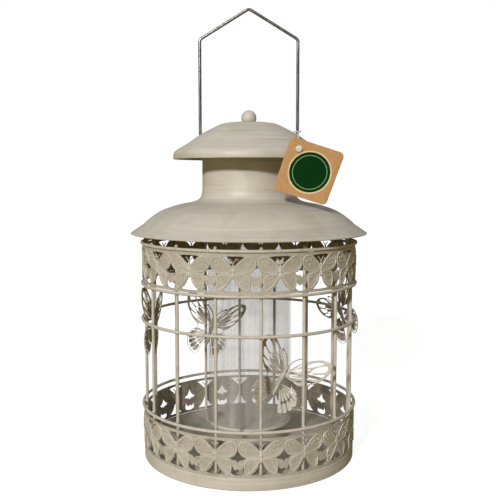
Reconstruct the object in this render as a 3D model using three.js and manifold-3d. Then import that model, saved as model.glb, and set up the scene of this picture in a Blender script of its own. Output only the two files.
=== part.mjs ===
// Hanging caged seed feeder: a clear seed tube inside a wire cage with pierced
// butterfly bands, under a spun roof with a chimney neck, a lifting lid and a wire bail.
// Millimetres, +Z up, front towards -Y, origin at the middle of the base underside.
import * as THREE from 'three';
import { mergeVertices } from 'three/addons/utils/BufferGeometryUtils.js';
import Module from 'manifold-3d';

const wasm = await Module();
wasm.setup();

// ---------------------------------------------------------------- driving dimensions
const GAP = 0.3;                    // clearance between pieces that touch
const SHEET = 0.8;                  // pressed steel sheet
const ROUND_STEPS = 48;             // facets round the big turned shapes
const TUBE_STEPS = 40;              // and round the tube and its seat

// cage
const WIRE_COUNT = 16;
const WIRE_RADIUS = 1.2;
const WIRE_CIRCLE = 82.7;           // radius of the circle the upright wires stand on
const WIRE_PHASE = 5.9;             // degrees from the front to the first upright
const WIRE_TOP = 175.5;
const TOP_HOOP_DROP = 3.2;          // from the wires' tips to the top hoop
const MIDDLE_HOOP_DROP = 28.5;      // from the hoop under the upper band to the middle one
const LOWER_HOOP_LIFT = 4.1;        // from the lower band's top edge to the hoop over it

// tray
const TRAY_HEIGHT = 9.7;
const TRAY_HEM = 4.0;               // turned-in foot that the feeder stands on

// pierced bands
const BAND_HEIGHT = 28.9;
const BAND_DRAWING = { pitch: 33.4, height: 28.9 };   // the size that its holes are drawn at
const LOWER_BAND_PHASE = WIRE_PHASE;
const UPPER_BAND_PHASE = -7.5;
const BODY_COUNT = 16;              // butterflies round one band

// tube and its seat
const TUBE_CLEARANCE = 2.0;         // between the tube and the neck round it
const TUBE_WALL = 1.5;
const TUBE_DROP = 7.0;              // from the bail's hooks to the tube's top edge
const PORT_ANGLES = [-41, 41, 139, -139];
const PORT_WIDTH = 16.0;
const PORT_HEIGHT = 11.0;
const SEAT_HEIGHT = 18.0;
const SEAT_FLANGE_EDGE = 0.7;       // how far the flange reaches past the tube
const SEAT_FLANGE_DEPTH = 2.2;
const SEAT_DRUM_INSET = 5.3;        // how far the drum stands inside the tube's outside
const SEAT_FOOT = 7.0;              // width of the turned-in foot of the drum
const SEAT_VENT_RADIUS = 1.2;
const RIVET_COUNT = 3;
const RIVET_RADIUS = 1.5;
const RIVET_HEAD_RADIUS = 2.8;
const RIVET_HEAD = 0.8;

// roof
const NECK_RADIUS = 37.1;
const NECK_SHOWING = 24.6;          // from the flare up to the lid's rim
const ROOF_OVERHANG = 11.3;         // from the wires' circle out to the lip
const ROOF_LIP_LIFT = 4.2;          // from the wires' tips up to the lip
const ROOF_RISE = 33.3;             // from the lip up to the flare's top
const ROOF_PROFILE = [              // shares of the way from neck to lip, and of the rise
  [0.021, 0.862], [0.076, 0.769], [0.165, 0.718], [0.315, 0.670], [0.438, 0.613],
  [0.552, 0.538], [0.657, 0.438], [0.757, 0.312], [0.833, 0.192],
];
const HOOK_LIFT = 5.4;              // from the lid's rim to the bail's hooks and their holes
const HOOK_CLEARANCE = 0.5;
const BRACKET_WIDTH = 10.0;
const BRACKET_THICKNESS = 1.0;
const BRACKET_DROP = 17.5;          // from the wires' tips to the strap's lower end
const BRACKET_STATIONS = [6.7, 12.7, 20.7];  // inwards from the wires, where it follows the roof
const SLOPE_ALLOWANCE = 1.25;       // upright measure of a thickness on the roof's slope

// lid and finial
const LID_RADIUS = 60.0;
const LID_HEIGHT = 29.4;
const LID_RIM_HEIGHT = 5.0;
const LID_EDGE_ROUND = [0.6, 1.2];  // across and down over the rim's upper edge
const LID_PROFILE = [               // shares of the radius and of the height
  [0.215, 0.984], [0.358, 0.946], [0.640, 0.660], [0.827, 0.398],
];
const FINIAL_RADIUS = 6.0;
const FINIAL_SINK = 3.2;            // how much of the ball its flat foot takes away
const STUD_RADIUS = 1.9;
const STUD_CLEARANCE = 0.3;
const NUT_ACROSS_FLATS = 7.0;
const NUT_HEIGHT = 3.2;
const STUD_TAIL = 2.0;              // stud past the nut

// bail
const BAIL_RISE = 64.0;             // from the lid's crown to the bail's shoulders
const BAIL_PEAK_RISE = 23.5;        // and from the shoulders to its peak
const BAIL_BEND = 2.0;
const BAIL_HOOK_REACH = 5.4;        // how far each hook reaches in from its leg
const LEG_CLEARANCE = 1.0;          // lid holes round the bail's legs
const ROCKING_ROOM = 3.8;           // under the lid, which rocks with the bail on its hooks

// swing tag
const TAG_SIDE = 41.0;
const TAG_THICKNESS = 0.8;
const TAG_CORNER = 3.5;
const TAG_HOLE_RADIUS = 1.6;
const TAG_HOLE = { across: 8.2, down: 6.7 };   // from the card's top left corner
const TAG_TURN = 18.0;              // degrees the card hangs off square
const TAG_LEAN = 14.0;              // degrees its top leans out over the rim
const TAG_PIN = { inset: 24.0, lift: 6.4 };    // in from the lid's right end, and over its rim
const TAG_STANDOFF = 9.0;           // from the lid's rim circle to the card at the pin
const BUTTON_RADIUS = 2.5;
const BUTTON_THICKNESS = 1.4;
const FILAMENT_RADIUS = 0.5;
const EYE_RADIUS = 2.7;
const EYE_LIFT = 0.8;               // from the lid's highest point under the eye to its middle
const OVER_RIM = { aside: 0.6, inset: 0.7, lift: 4.2 };  // the filament where it passes the rim
const SLOPE_STEPS = 4;              // points where it follows the slope up to the eye

// butterfly ornaments
const WING_THICKNESS = 1.2;
const BUTTERFLY_BODY = [[0, -14], [1.3, -11], [1.6, -3], [2.1, 3], [1.5, 7], [1.8, 9.5], [0, 12]];
// Each stands off one upright: aside along its own plane, and out from the upright's inner face
// or, over the hoops, from their outer face. Its level is taken from the middle hoop.
const BUTTERFLIES = [
  { name: 'butterfly_front', angle: 20, wire: 1, aside: -12.1, out: -12.6, up: -35.9,
    roll: -27, turn: -14, fold: 24 },
  { name: 'butterfly_rear', angle: -160, wire: 9, aside: 1.8, out: -20.0, up: -23.5,
    roll: 16, turn: -14, fold: 26 },
  { name: 'butterfly_left', angle: -88, wire: 12, aside: -5.6, out: -4.4, up: -6.9,
    roll: 12, turn: -11, fold: 5 },
  { name: 'butterfly_right', angle: 117, wire: 5, aside: -2.0, out: 3.1, up: -5.9,
    roll: -38, turn: 0, fold: 0, overHoops: true },
];

// ---------------------------------------------------------------- derived sizes
const TURN = Math.PI * 2;
const WIRE_OUTER = WIRE_CIRCLE + WIRE_RADIUS;
const WIRE_INNER = WIRE_CIRCLE - WIRE_RADIUS;
const HOOP_CIRCLE = WIRE_OUTER + GAP + WIRE_RADIUS;
const HOOP_OUTER = HOOP_CIRCLE + WIRE_RADIUS;
const BAND_INNER = WIRE_OUTER + GAP;
const BAND_OUTER = BAND_INNER + SHEET;
const CAGE_FLOOR = TRAY_HEIGHT + GAP;
const LOWER_BAND_BOTTOM = CAGE_FLOOR;
const TOP_HOOP = WIRE_TOP - TOP_HOOP_DROP;
const UPPER_BAND_BOTTOM = TOP_HOOP - WIRE_RADIUS - GAP - BAND_HEIGHT;
const UPPER_HOOP = UPPER_BAND_BOTTOM - GAP - WIRE_RADIUS;
const HOOP_LEVELS = {
  ring_lower: LOWER_BAND_BOTTOM + BAND_HEIGHT + LOWER_HOOP_LIFT,
  ring_middle: UPPER_HOOP - MIDDLE_HOOP_DROP,
  ring_upper: UPPER_HOOP,
  ring_top: TOP_HOOP,
};
const ROOF_LIP_RADIUS = WIRE_CIRCLE + ROOF_OVERHANG;
const ROOF_LIP_LEVEL = WIRE_TOP + ROOF_LIP_LIFT;
const NECK_FOOT = ROOF_LIP_LEVEL + ROOF_RISE;
const LID_RIM_BOTTOM = NECK_FOOT + NECK_SHOWING;
const LID_CROWN = LID_RIM_BOTTOM + LID_HEIGHT;
const NECK_TOP = lidTopAt(NECK_RADIUS) - (SHEET + GAP) * SLOPE_ALLOWANCE - ROCKING_ROOM;
const HOOK_LEVEL = LID_RIM_BOTTOM + HOOK_LIFT;
const BAIL_HALF_WIDTH = NECK_RADIUS + GAP + WIRE_RADIUS;
const BAIL_SHOULDER = LID_CROWN + BAIL_RISE;
const BAIL_APEX = BAIL_SHOULDER + BAIL_PEAK_RISE;
const TUBE_RADIUS = NECK_RADIUS - SHEET - TUBE_CLEARANCE;
const TUBE_TOP = HOOK_LEVEL - TUBE_DROP;
const TAG_ACROSS = LID_RADIUS - TAG_PIN.inset;
const SEAT_TOP = CAGE_FLOOR + SEAT_HEIGHT;
const SEAT_FLANGE_RADIUS = TUBE_RADIUS + SEAT_FLANGE_EDGE;
const SEAT_DRUM_RADIUS = TUBE_RADIUS - SEAT_DRUM_INSET;

// ---------------------------------------------------------------- small tools
function radians(degrees) {
  return THREE.MathUtils.degToRad(degrees);
}

// Point on a circle round the feeder's axis: 0 degrees is the front, positive to the right.
function around(radius, degrees, level = 0) {
  const a = radians(degrees);
  return new THREE.Vector3(radius * Math.sin(a), -radius * Math.cos(a), level);
}

// Placement of a flat piece facing outwards: x runs round the cage, y up, z outwards.
function facingOut(radius, degrees, level) {
  const a = radians(degrees);
  const matrix = new THREE.Matrix4().makeBasis(
    new THREE.Vector3(Math.cos(a), Math.sin(a), 0),
    new THREE.Vector3(0, 0, 1),
    new THREE.Vector3(Math.sin(a), -Math.cos(a), 0),
  );
  return matrix.setPosition(around(radius, degrees, level));
}

// Turned solid about +Z from a closed outline of [radius, level] points, anticlockwise.
function turned(outline, steps = ROUND_STEPS) {
  const points = outline.map(([r, z]) => new THREE.Vector2(r, z));
  const closed = points[0].x === 0 && points[points.length - 1].x === 0;
  if (!closed) points.push(points[0].clone());
  const geometry = new THREE.LatheGeometry(points, steps);
  return geometry.rotateX(Math.PI / 2);
}

// Outline of a sheet of even thickness below and inside a run of outer points.
function sheetOutline(outer, thickness) {
  const inner = outer.map(([r, z], i) => {
    const before = outer[Math.max(i - 1, 0)];
    const after = outer[Math.min(i + 1, outer.length - 1)];
    const along = new THREE.Vector2(after[0] - before[0], after[1] - before[1]).normalize();
    return [Math.max(r + along.y * thickness, 0), z - along.x * thickness];
  });
  return [...inner, ...outer.slice().reverse()];
}

function ring(circle, radius, level, steps = ROUND_STEPS) {
  const outline = [];
  const sides = 6;
  for (let i = 0; i < sides; i += 1) {
    const a = TURN * i / sides;
    outline.push([circle + radius * Math.cos(a), level + radius * Math.sin(a)]);
  }
  return turned(outline, steps);
}

function toSolid(geometry) {
  const bare = geometry.clone();
  bare.deleteAttribute('normal');
  bare.deleteAttribute('uv');
  const merged = mergeVertices(bare, 1e-4);
  return new wasm.Manifold(new wasm.Mesh({
    numProp: 3,
    vertProperties: merged.attributes.position.array,
    triVerts: new Uint32Array(merged.index.array),
  }));
}

function toGeometry(solid) {
  const mesh = solid.getMesh();
  const geometry = new THREE.BufferGeometry();
  geometry.setAttribute('position', new THREE.BufferAttribute(mesh.vertProperties, 3));
  geometry.setIndex(new THREE.BufferAttribute(mesh.triVerts, 1));
  return geometry;
}

function join(first, others) {
  return others.reduce((solid, other) => solid.add(toSolid(other)), toSolid(first));
}

function cut(geometry, tools) {
  const solid = tools.reduce((rest, tool) => rest.subtract(toSolid(tool)), toSolid(geometry));
  return toGeometry(solid);
}

// Straight-sided outline, run anticlockwise so that its holes are turned the right way.
function polygon(points) {
  const corners = points.map(([x, y]) => new THREE.Vector2(x, y));
  if (THREE.ShapeUtils.isClockWise(corners)) corners.reverse();
  return new THREE.Shape(corners);
}

// Prism of an outline, its thickness centred on the outline's plane.
function plate(shape, thickness) {
  const geometry = new THREE.ExtrudeGeometry(shape, { depth: thickness, bevelEnabled: false });
  return geometry.translate(0, 0, -thickness / 2);
}

function uprightRod(radius, bottom, top, sides = 8) {
  const geometry = new THREE.CylinderGeometry(radius, radius, top - bottom, sides);
  return geometry.rotateX(Math.PI / 2).translate(0, 0, (bottom + top) / 2);
}

// Curve through given points, one step of the sweep to each point.
class Route extends THREE.Curve {
  constructor(points) {
    super();
    this.points = points;
  }

  getPoint(t, target = new THREE.Vector3()) {
    const last = this.points.length - 1;
    const at = Math.min(Math.max(t, 0), 1) * last;
    const i = Math.min(Math.floor(at), last - 1);
    return target.lerpVectors(this.points[i], this.points[i + 1], at - i);
  }

  getTangent(t, target = new THREE.Vector3()) {
    const last = this.points.length - 1;
    const i = Math.round(t * last);
    const into = this.points[Math.max(i, 1)].clone().sub(this.points[Math.max(i, 1) - 1]);
    const next = Math.min(i, last - 1);
    const out = this.points[next + 1].clone().sub(this.points[next]);
    return target.copy(into.normalize()).add(out.normalize()).normalize();
  }

  getUtoTmapping(u) {
    return u;
  }
}

// Corners joined by straight runs, each inner corner rounded by a bend.
function bentRoute(corners, bend, bendSteps = 4) {
  const points = [corners[0]];
  for (let i = 1; i < corners.length - 1; i += 1) {
    const into = corners[i].clone().sub(corners[i - 1]).normalize();
    const out = corners[i + 1].clone().sub(corners[i]).normalize();
    const reach = bend * Math.tan(into.angleTo(out) / 2);
    const start = corners[i].clone().addScaledVector(into, -reach);
    const end = corners[i].clone().addScaledVector(out, reach);
    const corner = new THREE.QuadraticBezierCurve3(start, corners[i], end);
    points.push(...corner.getPoints(bendSteps));
  }
  points.push(corners[corners.length - 1]);
  return points;
}

function swept(points, radius, sides = 8) {
  const section = [];
  for (let i = 0; i < sides; i += 1) {
    const a = TURN * i / sides;
    section.push([radius * Math.cos(a), radius * Math.sin(a)]);
  }
  return new THREE.ExtrudeGeometry(polygon(section), {
    steps: points.length - 1,
    bevelEnabled: false,
    extrudePath: new Route(points),
  });
}

// ---------------------------------------------------------------- finishes
function finish(color, roughness, metalness, extra = {}) {
  return new THREE.MeshStandardMaterial({ color, roughness, metalness, ...extra });
}

const paint = finish(0xc6bca8, 0.5, 0.2);
const wire = finish(0x77777a, 0.3, 0.9);
const clear = finish(0xd8d8de, 0.1, 0.0, { transparent: true, opacity: 0.35 });
const zinc = finish(0x9a9a98, 0.4, 0.8);
const kraft = finish(0xc89664, 0.9, 0.0);
const nylon = finish(0xd8d4d0, 0.4, 0.0);

// ---------------------------------------------------------------- cage
function uprightWire(index) {
  const place = around(WIRE_CIRCLE, WIRE_PHASE + index * 360 / WIRE_COUNT);
  return uprightRod(WIRE_RADIUS, CAGE_FLOOR, WIRE_TOP).translate(place.x, place.y, 0);
}

// Hole outlines of one butterfly, with x from its body and y from the band's bottom edge.
const HEAD_HOLE = [[-8, 26], [0, 20], [8, 26]];
const TAIL_HOLE = [[-8.6, 2], [8.6, 2], [2, 8], [0, 11.5], [-2, 8]];
// Hole outlines between two butterflies, with x from the line midway between them.
const STAR_HOLE = [[-5.4, 13.6], [5.4, 13.6], [0, 22.8]];
const SMILE_HOLE = [[-3, 1.8], [3, 1.8], [5.3, 8], [-5.3, 8]];

function bandHole(outline, degrees, bottom) {
  const depth = SHEET * 8;
  const middle = (BAND_OUTER + BAND_INNER) / 2;
  const wide = TURN * middle / BODY_COUNT / BAND_DRAWING.pitch;
  const high = BAND_HEIGHT / BAND_DRAWING.height;
  const scaled = outline.map(([x, y]) => [x * wide, y * high]);
  return plate(polygon(scaled), depth).applyMatrix4(facingOut(middle, degrees, bottom));
}

function piercedBand(bottom, phase) {
  const top = bottom + BAND_HEIGHT;
  const outline = [
    [BAND_INNER, bottom], [BAND_OUTER, bottom], [BAND_OUTER, top], [BAND_INNER, top],
  ];
  const strip = turned(outline).rotateZ(radians(phase));
  const tools = [];
  for (let i = 0; i < BODY_COUNT; i += 1) {
    const body = phase + i * 360 / BODY_COUNT;
    const between = body + 180 / BODY_COUNT;
    tools.push(bandHole(HEAD_HOLE, body, bottom), bandHole(TAIL_HOLE, body, bottom));
    tools.push(bandHole(STAR_HOLE, between, bottom), bandHole(SMILE_HOLE, between, bottom));
  }
  return cut(strip, tools);
}

// ---------------------------------------------------------------- tray, seat and tube
function rivetPlaces() {
  const circle = SEAT_DRUM_RADIUS - SHEET - SEAT_FOOT / 2;
  return Array.from({ length: RIVET_COUNT }, (_, i) => around(circle, i * 360 / RIVET_COUNT));
}

function rivetHoles(bottom, top) {
  return rivetPlaces().map((p) => (
    uprightRod(RIVET_RADIUS + GAP, bottom, top, 8).translate(p.x, p.y, 0)));
}

function seedTray() {
  const floor = TRAY_HEIGHT - SHEET;
  const hem = BAND_OUTER - TRAY_HEM;
  const pan = turned([
    [0, floor], [BAND_OUTER - SHEET, floor], [BAND_OUTER - SHEET, SHEET], [hem, SHEET],
    [hem, 0], [BAND_OUTER, 0], [BAND_OUTER, TRAY_HEIGHT], [0, TRAY_HEIGHT],
  ]);
  return cut(pan, rivetHoles(floor - 1, TRAY_HEIGHT + 1));
}

function tubeSeat() {
  const foot = CAGE_FLOOR;
  const inside = SEAT_DRUM_RADIUS - SHEET;
  const flange = SEAT_TOP - SEAT_FLANGE_DEPTH;
  const drum = turned([
    [0, SEAT_TOP - SHEET], [inside, SEAT_TOP - SHEET], [inside, foot + SHEET],
    [inside - SEAT_FOOT, foot + SHEET], [inside - SEAT_FOOT, foot], [SEAT_DRUM_RADIUS, foot],
    [SEAT_DRUM_RADIUS, flange], [SEAT_FLANGE_RADIUS, flange], [SEAT_FLANGE_RADIUS, SEAT_TOP],
    [0, SEAT_TOP],
  ], TUBE_STEPS);
  const vent = uprightRod(SEAT_VENT_RADIUS, 0, 4 * SHEET, 10);
  vent.translate(0, 0, -2 * SHEET);
  vent.applyMatrix4(facingOut(SEAT_DRUM_RADIUS - SHEET / 2, 0, flange - 2 * SEAT_VENT_RADIUS));
  return cut(drum, [vent, ...rivetHoles(foot - 1, foot + SHEET + 1)]);
}

function seatRivet(place) {
  const low = TRAY_HEIGHT - SHEET - GAP;
  const high = CAGE_FLOOR + SHEET + GAP;
  const rivet = turned([
    [0, low - RIVET_HEAD], [RIVET_HEAD_RADIUS, low - RIVET_HEAD], [RIVET_HEAD_RADIUS, low],
    [RIVET_RADIUS, low], [RIVET_RADIUS, high], [RIVET_HEAD_RADIUS, high],
    [RIVET_HEAD_RADIUS, high + RIVET_HEAD], [0, high + RIVET_HEAD],
  ], 8);
  return rivet.translate(place.x, place.y, 0);
}

// Seed port: an arch standing on the tube's bottom edge.
function portArch() {
  const half = PORT_WIDTH / 2;
  const shape = new THREE.Shape();
  shape.moveTo(-half, -1);
  shape.lineTo(half, -1);
  shape.lineTo(half, PORT_HEIGHT - half);
  shape.absarc(0, PORT_HEIGHT - half, half, 0, Math.PI, false);
  return new THREE.ExtrudeGeometry(shape, {
    depth: 6 * TUBE_WALL, bevelEnabled: false, curveSegments: 6,
  });
}

function seedTube() {
  const bottom = SEAT_TOP + GAP;
  const bore = TUBE_RADIUS - TUBE_WALL;
  const outline = [
    [bore, bottom], [TUBE_RADIUS, bottom], [TUBE_RADIUS, TUBE_TOP], [bore, TUBE_TOP],
  ];
  const tube = turned(outline, TUBE_STEPS);
  const start = TUBE_RADIUS - 4 * TUBE_WALL;
  return cut(tube, PORT_ANGLES.map((a) => portArch().applyMatrix4(facingOut(start, a, bottom))));
}

// ---------------------------------------------------------------- roof
// Outer surface of the roof from the neck's top edge out to the lip.
function roofOuter() {
  const dome = ROOF_PROFILE.map(([across, up]) => [
    NECK_RADIUS + (ROOF_LIP_RADIUS - NECK_RADIUS) * across, ROOF_LIP_LEVEL + ROOF_RISE * up,
  ]);
  return [
    [NECK_RADIUS, NECK_TOP], [NECK_RADIUS, NECK_FOOT], ...dome, [ROOF_LIP_RADIUS, ROOF_LIP_LEVEL],
  ];
}

function roofTopAt(radius) {
  const points = roofOuter();
  const i = points.findIndex(([r]) => r > radius);
  const [r0, z0] = points[i - 1];
  const [r1, z1] = points[i];
  return z0 + (z1 - z0) * (radius - r0) / (r1 - r0);
}

function roof() {
  const shell = turned(sheetOutline(roofOuter(), SHEET));
  const holes = uprightRod(WIRE_RADIUS + HOOK_CLEARANCE, -NECK_RADIUS - 2, NECK_RADIUS + 2, 12);
  return cut(shell, [holes.rotateY(Math.PI / 2).translate(0, 0, HOOK_LEVEL)]);
}

// Strap under the roof that carries it on one upright of the cage.
function roofBracket(degrees) {
  const face = WIRE_INNER - GAP;
  const back = face - BRACKET_THICKNESS;
  const drop = (SHEET + GAP) * SLOPE_ALLOWANCE + GAP;
  const stations = [face, ...BRACKET_STATIONS.map((inwards) => WIRE_CIRCLE - inwards)];
  const top = stations.map((r) => [r, roofTopAt(r) - drop]);
  const under = stations.slice(1).reverse()
    .map((r) => [r, roofTopAt(r) - drop - BRACKET_THICKNESS * SLOPE_ALLOWANCE]);
  const elbow = [back, roofTopAt(back) - drop - 2 * BRACKET_THICKNESS];
  const end = WIRE_TOP - BRACKET_DROP;
  const outline = [[back, end], [face, end], ...top, ...under, elbow];
  const strap = plate(polygon(outline), BRACKET_WIDTH).rotateX(Math.PI / 2);
  return strap.rotateZ(radians(degrees - 90));
}

// ---------------------------------------------------------------- lid, finial and bail
function lidOuter() {
  const hole = STUD_RADIUS + STUD_CLEARANCE;
  const rimTop = LID_RIM_BOTTOM + LID_RIM_HEIGHT;
  const [across, down] = LID_EDGE_ROUND;
  const crown = LID_PROFILE.map(([share, up]) => [
    LID_RADIUS * share, LID_RIM_BOTTOM + LID_HEIGHT * up,
  ]);
  return [
    [hole, LID_CROWN], ...crown, [LID_RADIUS - across, rimTop], [LID_RADIUS, rimTop - down],
    [LID_RADIUS, LID_RIM_BOTTOM],
  ];
}

function lidTopAt(radius) {
  const points = lidOuter();
  const i = points.findIndex(([r]) => r > radius);
  const [r0, z0] = points[i - 1];
  const [r1, z1] = points[i];
  return z0 + (z1 - z0) * (radius - r0) / (r1 - r0);
}

function lid() {
  const shell = turned(sheetOutline(lidOuter(), SHEET));
  const holes = [-1, 1].map((side) => (
    uprightRod(WIRE_RADIUS + LEG_CLEARANCE, LID_RIM_BOTTOM, LID_CROWN, 12)
      .translate(side * BAIL_HALF_WIDTH, 0, 0)));
  return cut(shell, holes);
}

function finialBall() {
  const foot = LID_CROWN + GAP;
  const centre = foot + FINIAL_RADIUS - FINIAL_SINK;
  const start = -Math.asin((centre - foot) / FINIAL_RADIUS);
  const nutBottom = LID_CROWN - SHEET - GAP - NUT_HEIGHT;
  const tip = nutBottom - STUD_TAIL;
  const outline = [[0, tip], [STUD_RADIUS, tip], [STUD_RADIUS, foot]];
  const steps = 6;
  for (let i = 0; i <= steps; i += 1) {
    const a = start + (Math.PI / 2 - start) * i / steps;
    const r = i === steps ? 0 : FINIAL_RADIUS * Math.cos(a);
    outline.push([r, centre + FINIAL_RADIUS * Math.sin(a)]);
  }
  return turned(outline, 16);
}

function finialNut() {
  const bottom = LID_CROWN - SHEET - GAP - NUT_HEIGHT;
  const corner = NUT_ACROSS_FLATS / 2 / Math.cos(Math.PI / 6);
  const bore = STUD_RADIUS + STUD_CLEARANCE;
  const nut = uprightRod(corner, bottom, bottom + NUT_HEIGHT, 6);
  return cut(nut, [uprightRod(bore, bottom - 1, bottom + NUT_HEIGHT + 1, 16)]);
}

function bail() {
  const x = BAIL_HALF_WIDTH;
  const hook = x - BAIL_HOOK_REACH;
  const corners = [
    [-hook, HOOK_LEVEL], [-x, HOOK_LEVEL], [-x, BAIL_SHOULDER], [0, BAIL_APEX],
    [x, BAIL_SHOULDER], [x, HOOK_LEVEL], [hook, HOOK_LEVEL],
  ].map(([across, level]) => new THREE.Vector3(across, 0, level));
  return swept(bentRoute(corners, BAIL_BEND), WIRE_RADIUS);
}

// ---------------------------------------------------------------- swing tag
function tagPin() {
  const rim = -Math.sqrt(LID_RADIUS ** 2 - TAG_ACROSS ** 2);
  return new THREE.Vector3(TAG_ACROSS, rim - TAG_STANDOFF, LID_RIM_BOTTOM + TAG_PIN.lift);
}

// Placement of the card: its own origin is the pin hole, x along its top edge, y up it.
function tagPlace() {
  const place = new THREE.Matrix4().makeRotationX(Math.PI / 2 + radians(TAG_LEAN));
  place.multiply(new THREE.Matrix4().makeRotationZ(-radians(TAG_TURN)));
  return place.setPosition(tagPin());
}

function tagCard() {
  const left = -TAG_HOLE.across;
  const top = TAG_HOLE.down;
  const right = left + TAG_SIDE;
  const bottom = top - TAG_SIDE;
  const c = TAG_CORNER;
  const shape = new THREE.Shape();
  shape.absarc(right - c, top - c, c, 0, Math.PI / 2, false);
  shape.absarc(left + c, top - c, c, Math.PI / 2, Math.PI, false);
  shape.absarc(left + c, bottom + c, c, Math.PI, Math.PI * 1.5, false);
  shape.absarc(right - c, bottom + c, c, Math.PI * 1.5, TURN, false);
  shape.closePath();
  const hole = new THREE.Path();
  hole.absarc(0, 0, TAG_HOLE_RADIUS, 0, TURN, true);
  shape.holes.push(hole);
  const card = new THREE.ExtrudeGeometry(shape, {
    depth: TAG_THICKNESS, bevelEnabled: false, curveSegments: 5,
  });
  return card.translate(0, 0, -TAG_THICKNESS / 2).applyMatrix4(tagPlace());
}

function eyeLevel() {
  return lidTopAt(BAIL_HALF_WIDTH - EYE_RADIUS - FILAMENT_RADIUS) + EYE_LIFT;
}

// The filament's way over the lid, from the rim up the slope to the eye's front.
function overLid() {
  const eyeLift = eyeLevel() - lidTopAt(BAIL_HALF_WIDTH);
  const across = TAG_ACROSS + OVER_RIM.aside;
  const back = -Math.sqrt((LID_RADIUS - OVER_RIM.inset) ** 2 - across ** 2);
  const rim = new THREE.Vector2(across, back);
  const eye = new THREE.Vector2(BAIL_HALF_WIDTH, -EYE_RADIUS);
  return Array.from({ length: SLOPE_STEPS + 1 }, (_, i) => {
    const share = i / SLOPE_STEPS;
    const place = rim.clone().lerp(eye, share);
    const lift = THREE.MathUtils.lerp(OVER_RIM.lift, eyeLift, share);
    const radius = Math.max(place.length(), BAIL_HALF_WIDTH);
    return new THREE.Vector3(place.x, place.y, lidTopAt(radius) + lift);
  });
}

// Plastic tag fastener: a round button before the card and an eye round the bail's right leg.
function tagLoop() {
  const place = tagPlace();
  const front = TAG_THICKNESS / 2 + GAP;
  const button = turned([
    [0, front], [BUTTON_RADIUS, front], [BUTTON_RADIUS * 0.8, front + BUTTON_THICKNESS * 0.7],
    [0, front + BUTTON_THICKNESS],
  ], 12).applyMatrix4(place);
  const eye = ring(EYE_RADIUS, FILAMENT_RADIUS, eyeLevel(), 12).translate(BAIL_HALF_WIDTH, 0, 0);
  const start = new THREE.Vector3(0, 0, front + BUTTON_THICKNESS / 2).applyMatrix4(place);
  const behind = new THREE.Vector3(0, 0, -TAG_THICKNESS / 2 - 2).applyMatrix4(place);
  const curve = new THREE.CatmullRomCurve3([behind, ...overLid()]);
  const filament = swept([start, ...curve.getPoints(12)], FILAMENT_RADIUS, 6);
  return toGeometry(join(button, [filament, eye]));
}

// ---------------------------------------------------------------- butterfly ornaments
// One side's wings: a fore wing and a hind wing in one outline, with its open cells.
const WING_OUTLINE = [
  [0, 4], [5, 13], [12, 21], [21, 27], [28.5, 27.5], [30, 22], [26.5, 13], [19, 5], [13, 0.5],
  [18.5, -6], [19.5, -14], [15, -21.5], [8, -24], [4.5, -15], [1.5, -9], [0, -5],
];
const WING_CELLS = [
  [[8, 12], [15, 17.5], [17, 12.5], [9, 5.5]],
  [[17, 20], [24, 24.5], [26, 20], [19.5, 14.5]],
  [[11, 4.8], [18, 11], [23.5, 14.5], [22, 11.5], [15.5, 5]],
  [[7, -6], [12.5, -3.5], [15.5, -8], [8, -10.5]],
  [[8, -13], [16, -10.5], [15.5, -15.5], [12.5, -19.5], [9.5, -20.5]],
];

function wing(side, fold) {
  const shape = polygon(WING_OUTLINE);
  WING_CELLS.forEach((cell) => {
    shape.holes.push(new THREE.Path(cell.map(([x, y]) => new THREE.Vector2(x, y))));
  });
  const flat = plate(shape, WING_THICKNESS);
  if (side < 0) flat.rotateY(Math.PI);
  return flat.rotateY(-side * radians(fold));
}

function butterfly({ angle, wire: index, aside, out, up, roll, turn, fold, overHoops }) {
  const body = turned(BUTTERFLY_BODY, 8).rotateX(-Math.PI / 2);
  const solid = join(body, [wing(1, fold), wing(-1, fold)]);
  const geometry = toGeometry(solid);
  const face = overHoops ? HOOP_OUTER - WIRE_CIRCLE : WIRE_INNER - WIRE_CIRCLE;
  const upright = around(WIRE_CIRCLE, WIRE_PHASE + index * 360 / WIRE_COUNT);
  geometry.rotateZ(radians(roll)).rotateY(radians(turn)).translate(aside, 0, face + out);
  geometry.applyMatrix4(facingOut(0, angle, HOOP_LEVELS.ring_middle + up));
  return geometry.translate(upright.x, upright.y, 0);
}

// ---------------------------------------------------------------- assembly
const feeder = new THREE.Group();

function add(name, geometry, material) {
  const mesh = new THREE.Mesh(geometry, material);
  mesh.name = name;
  feeder.add(mesh);
}

add('seed_tray', seedTray(), paint);
for (let i = 0; i < WIRE_COUNT; i += 1) {
  add(`wire_${String(i + 1).padStart(2, '0')}`, uprightWire(i), paint);
}
Object.entries(HOOP_LEVELS).forEach(([name, level]) => {
  add(name, ring(HOOP_CIRCLE, WIRE_RADIUS, level), paint);
});
add('band_lower', piercedBand(LOWER_BAND_BOTTOM, LOWER_BAND_PHASE), paint);
add('band_upper', piercedBand(UPPER_BAND_BOTTOM, UPPER_BAND_PHASE), paint);
add('tube_seat', tubeSeat(), paint);
rivetPlaces().forEach((place, i) => add(`seat_rivet_${i + 1}`, seatRivet(place), zinc));
add('seed_tube', seedTube(), clear);
add('roof', roof(), paint);
add('roof_bracket_right', roofBracket(WIRE_PHASE + 90), paint);
add('roof_bracket_left', roofBracket(WIRE_PHASE - 90), paint);
BUTTERFLIES.forEach((place) => add(place.name, butterfly(place), paint));
add('bail', bail(), wire);
add('lid', lid(), paint);
add('finial_ball', finialBall(), paint);
add('finial_nut', finialNut(), zinc);
add('tag_loop', tagLoop(), nylon);
add('tag_card', tagCard(), kraft);

export default feeder;
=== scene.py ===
# A hanging caged seed feeder, dressed in Blender round its mechanical frame.

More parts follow.
